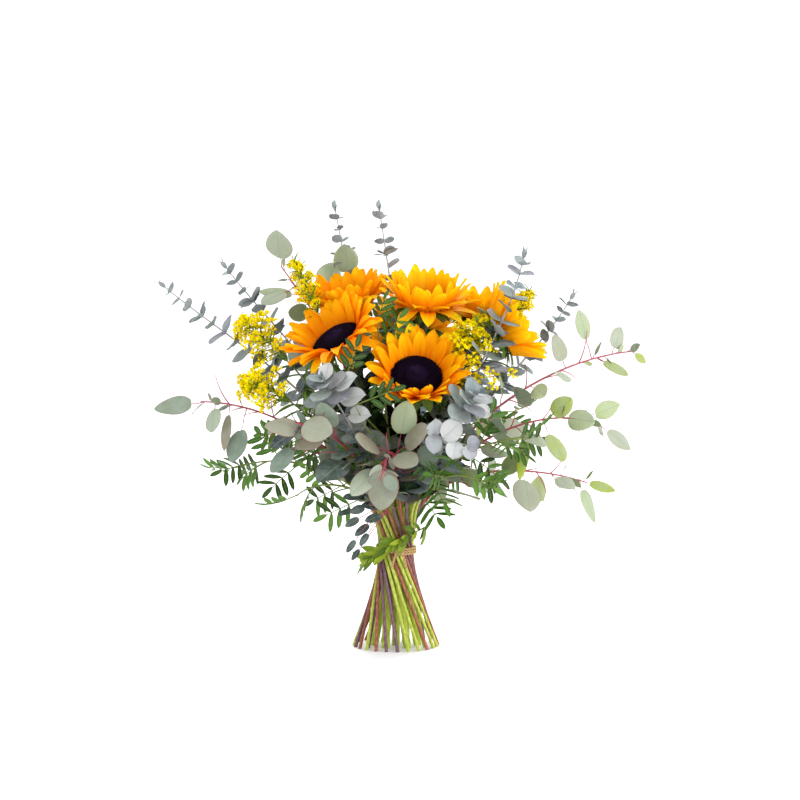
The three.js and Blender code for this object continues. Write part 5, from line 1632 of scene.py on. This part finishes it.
# %% Floor
FLOOR_HALF = 40.0  # m, far enough to have no edge in the picture


def stage():
    """A flat floor of matt white paint: it takes the shadow and throws light up at the leaves."""
    floor = bpy.data.meshes.new("floor")
    corners = [(x * FLOOR_HALF, y * FLOOR_HALF, 0) for x, y in ((-1, -1), (1, -1), (1, 1), (-1, 1))]
    floor.from_pydata(corners, [], [(0, 1, 2, 3)])
    finish, tree, output, _ = new_finish("matt_white_floor_paint")
    show(tree, output, linear("#F2F2F4"), {"Roughness": 0.6})
    floor.materials.append(finish)
    plane = bpy.data.objects.new("floor", floor)
    bpy.context.scene.collection.objects.link(plane)


stage()
print("floor:", 2 * FLOOR_HALF, "metres wide")

# %% Lights
AIM = np.array([0.0, 0.0, 0.32])  # the middle of the bunch


def world(strength):
    """A white sky, which gives the same light from every side."""
    sky = bpy.data.worlds.new("white_sky")
    sky.use_nodes = True
    tree = sky.node_tree
    tree.nodes.clear()
    air = add(tree, "Background", {"Color": linear("#FCFBFF"), "Strength": strength})
    tree.links.new(air.outputs[0], add(tree, "OutputWorld").inputs[0])
    bpy.context.scene.world = sky
    print("white sky of strength", strength)


def lamp(name, kind, place, energy, **settings):
    """A lamp that looks from its place at the middle of the bunch. Its matrix has the directions across,
    up and back as columns, and then the place."""
    data = bpy.data.lights.new(name, kind)
    data.energy = energy
    for key, value in settings.items():
        setattr(data, key, value)
    light = bpy.data.objects.new(name, data)
    back = unit(np.array(place) - AIM)
    across = unit(np.cross(UP, back))
    matrix = np.eye(4)
    matrix[:3, :3] = np.stack([across, np.cross(back, across), back], axis=1)
    matrix[:3, 3] = place
    light.matrix_world = Matrix(matrix.tolist())
    bpy.context.scene.collection.objects.link(light)
    print(f"{name}: from {np.round(back, 2)}")


lamp("high_sun", "SUN", (0.3, 1.65, 1.92), 2.3, angle=np.radians(34), color=(1.0, 0.98, 0.94))
lamp("right_soft_box", "AREA", (1.7, -1.1, 0.9), 22, size=1.2)
world(1.35)
bpy.context.scene.view_settings.view_transform = "Standard"

# %% Camera
# The photograph spans a metre across its 800 pixels at the bunch, seen level from 1.8 m in front.
CAMERA_AT, VIEW_WIDTH, SENSOR = (0.005, -1.8, 0.306), 1.0, 36.0


def camera():
    """A level camera: its lens is the sensor's width times the distance over the width it sees."""
    data = bpy.data.cameras.new("camera")
    data.sensor_width = SENSOR
    data.lens = SENSOR * -CAMERA_AT[1] / VIEW_WIDTH
    eye = bpy.data.objects.new("camera", data)
    eye.location = CAMERA_AT
    eye.rotation_euler = (np.pi / 2, 0, 0)
    bpy.context.scene.collection.objects.link(eye)
    bpy.context.scene.camera = eye
    print(f"camera: {data.lens:.1f} mm lens, {-CAMERA_AT[1]} m away")


camera()
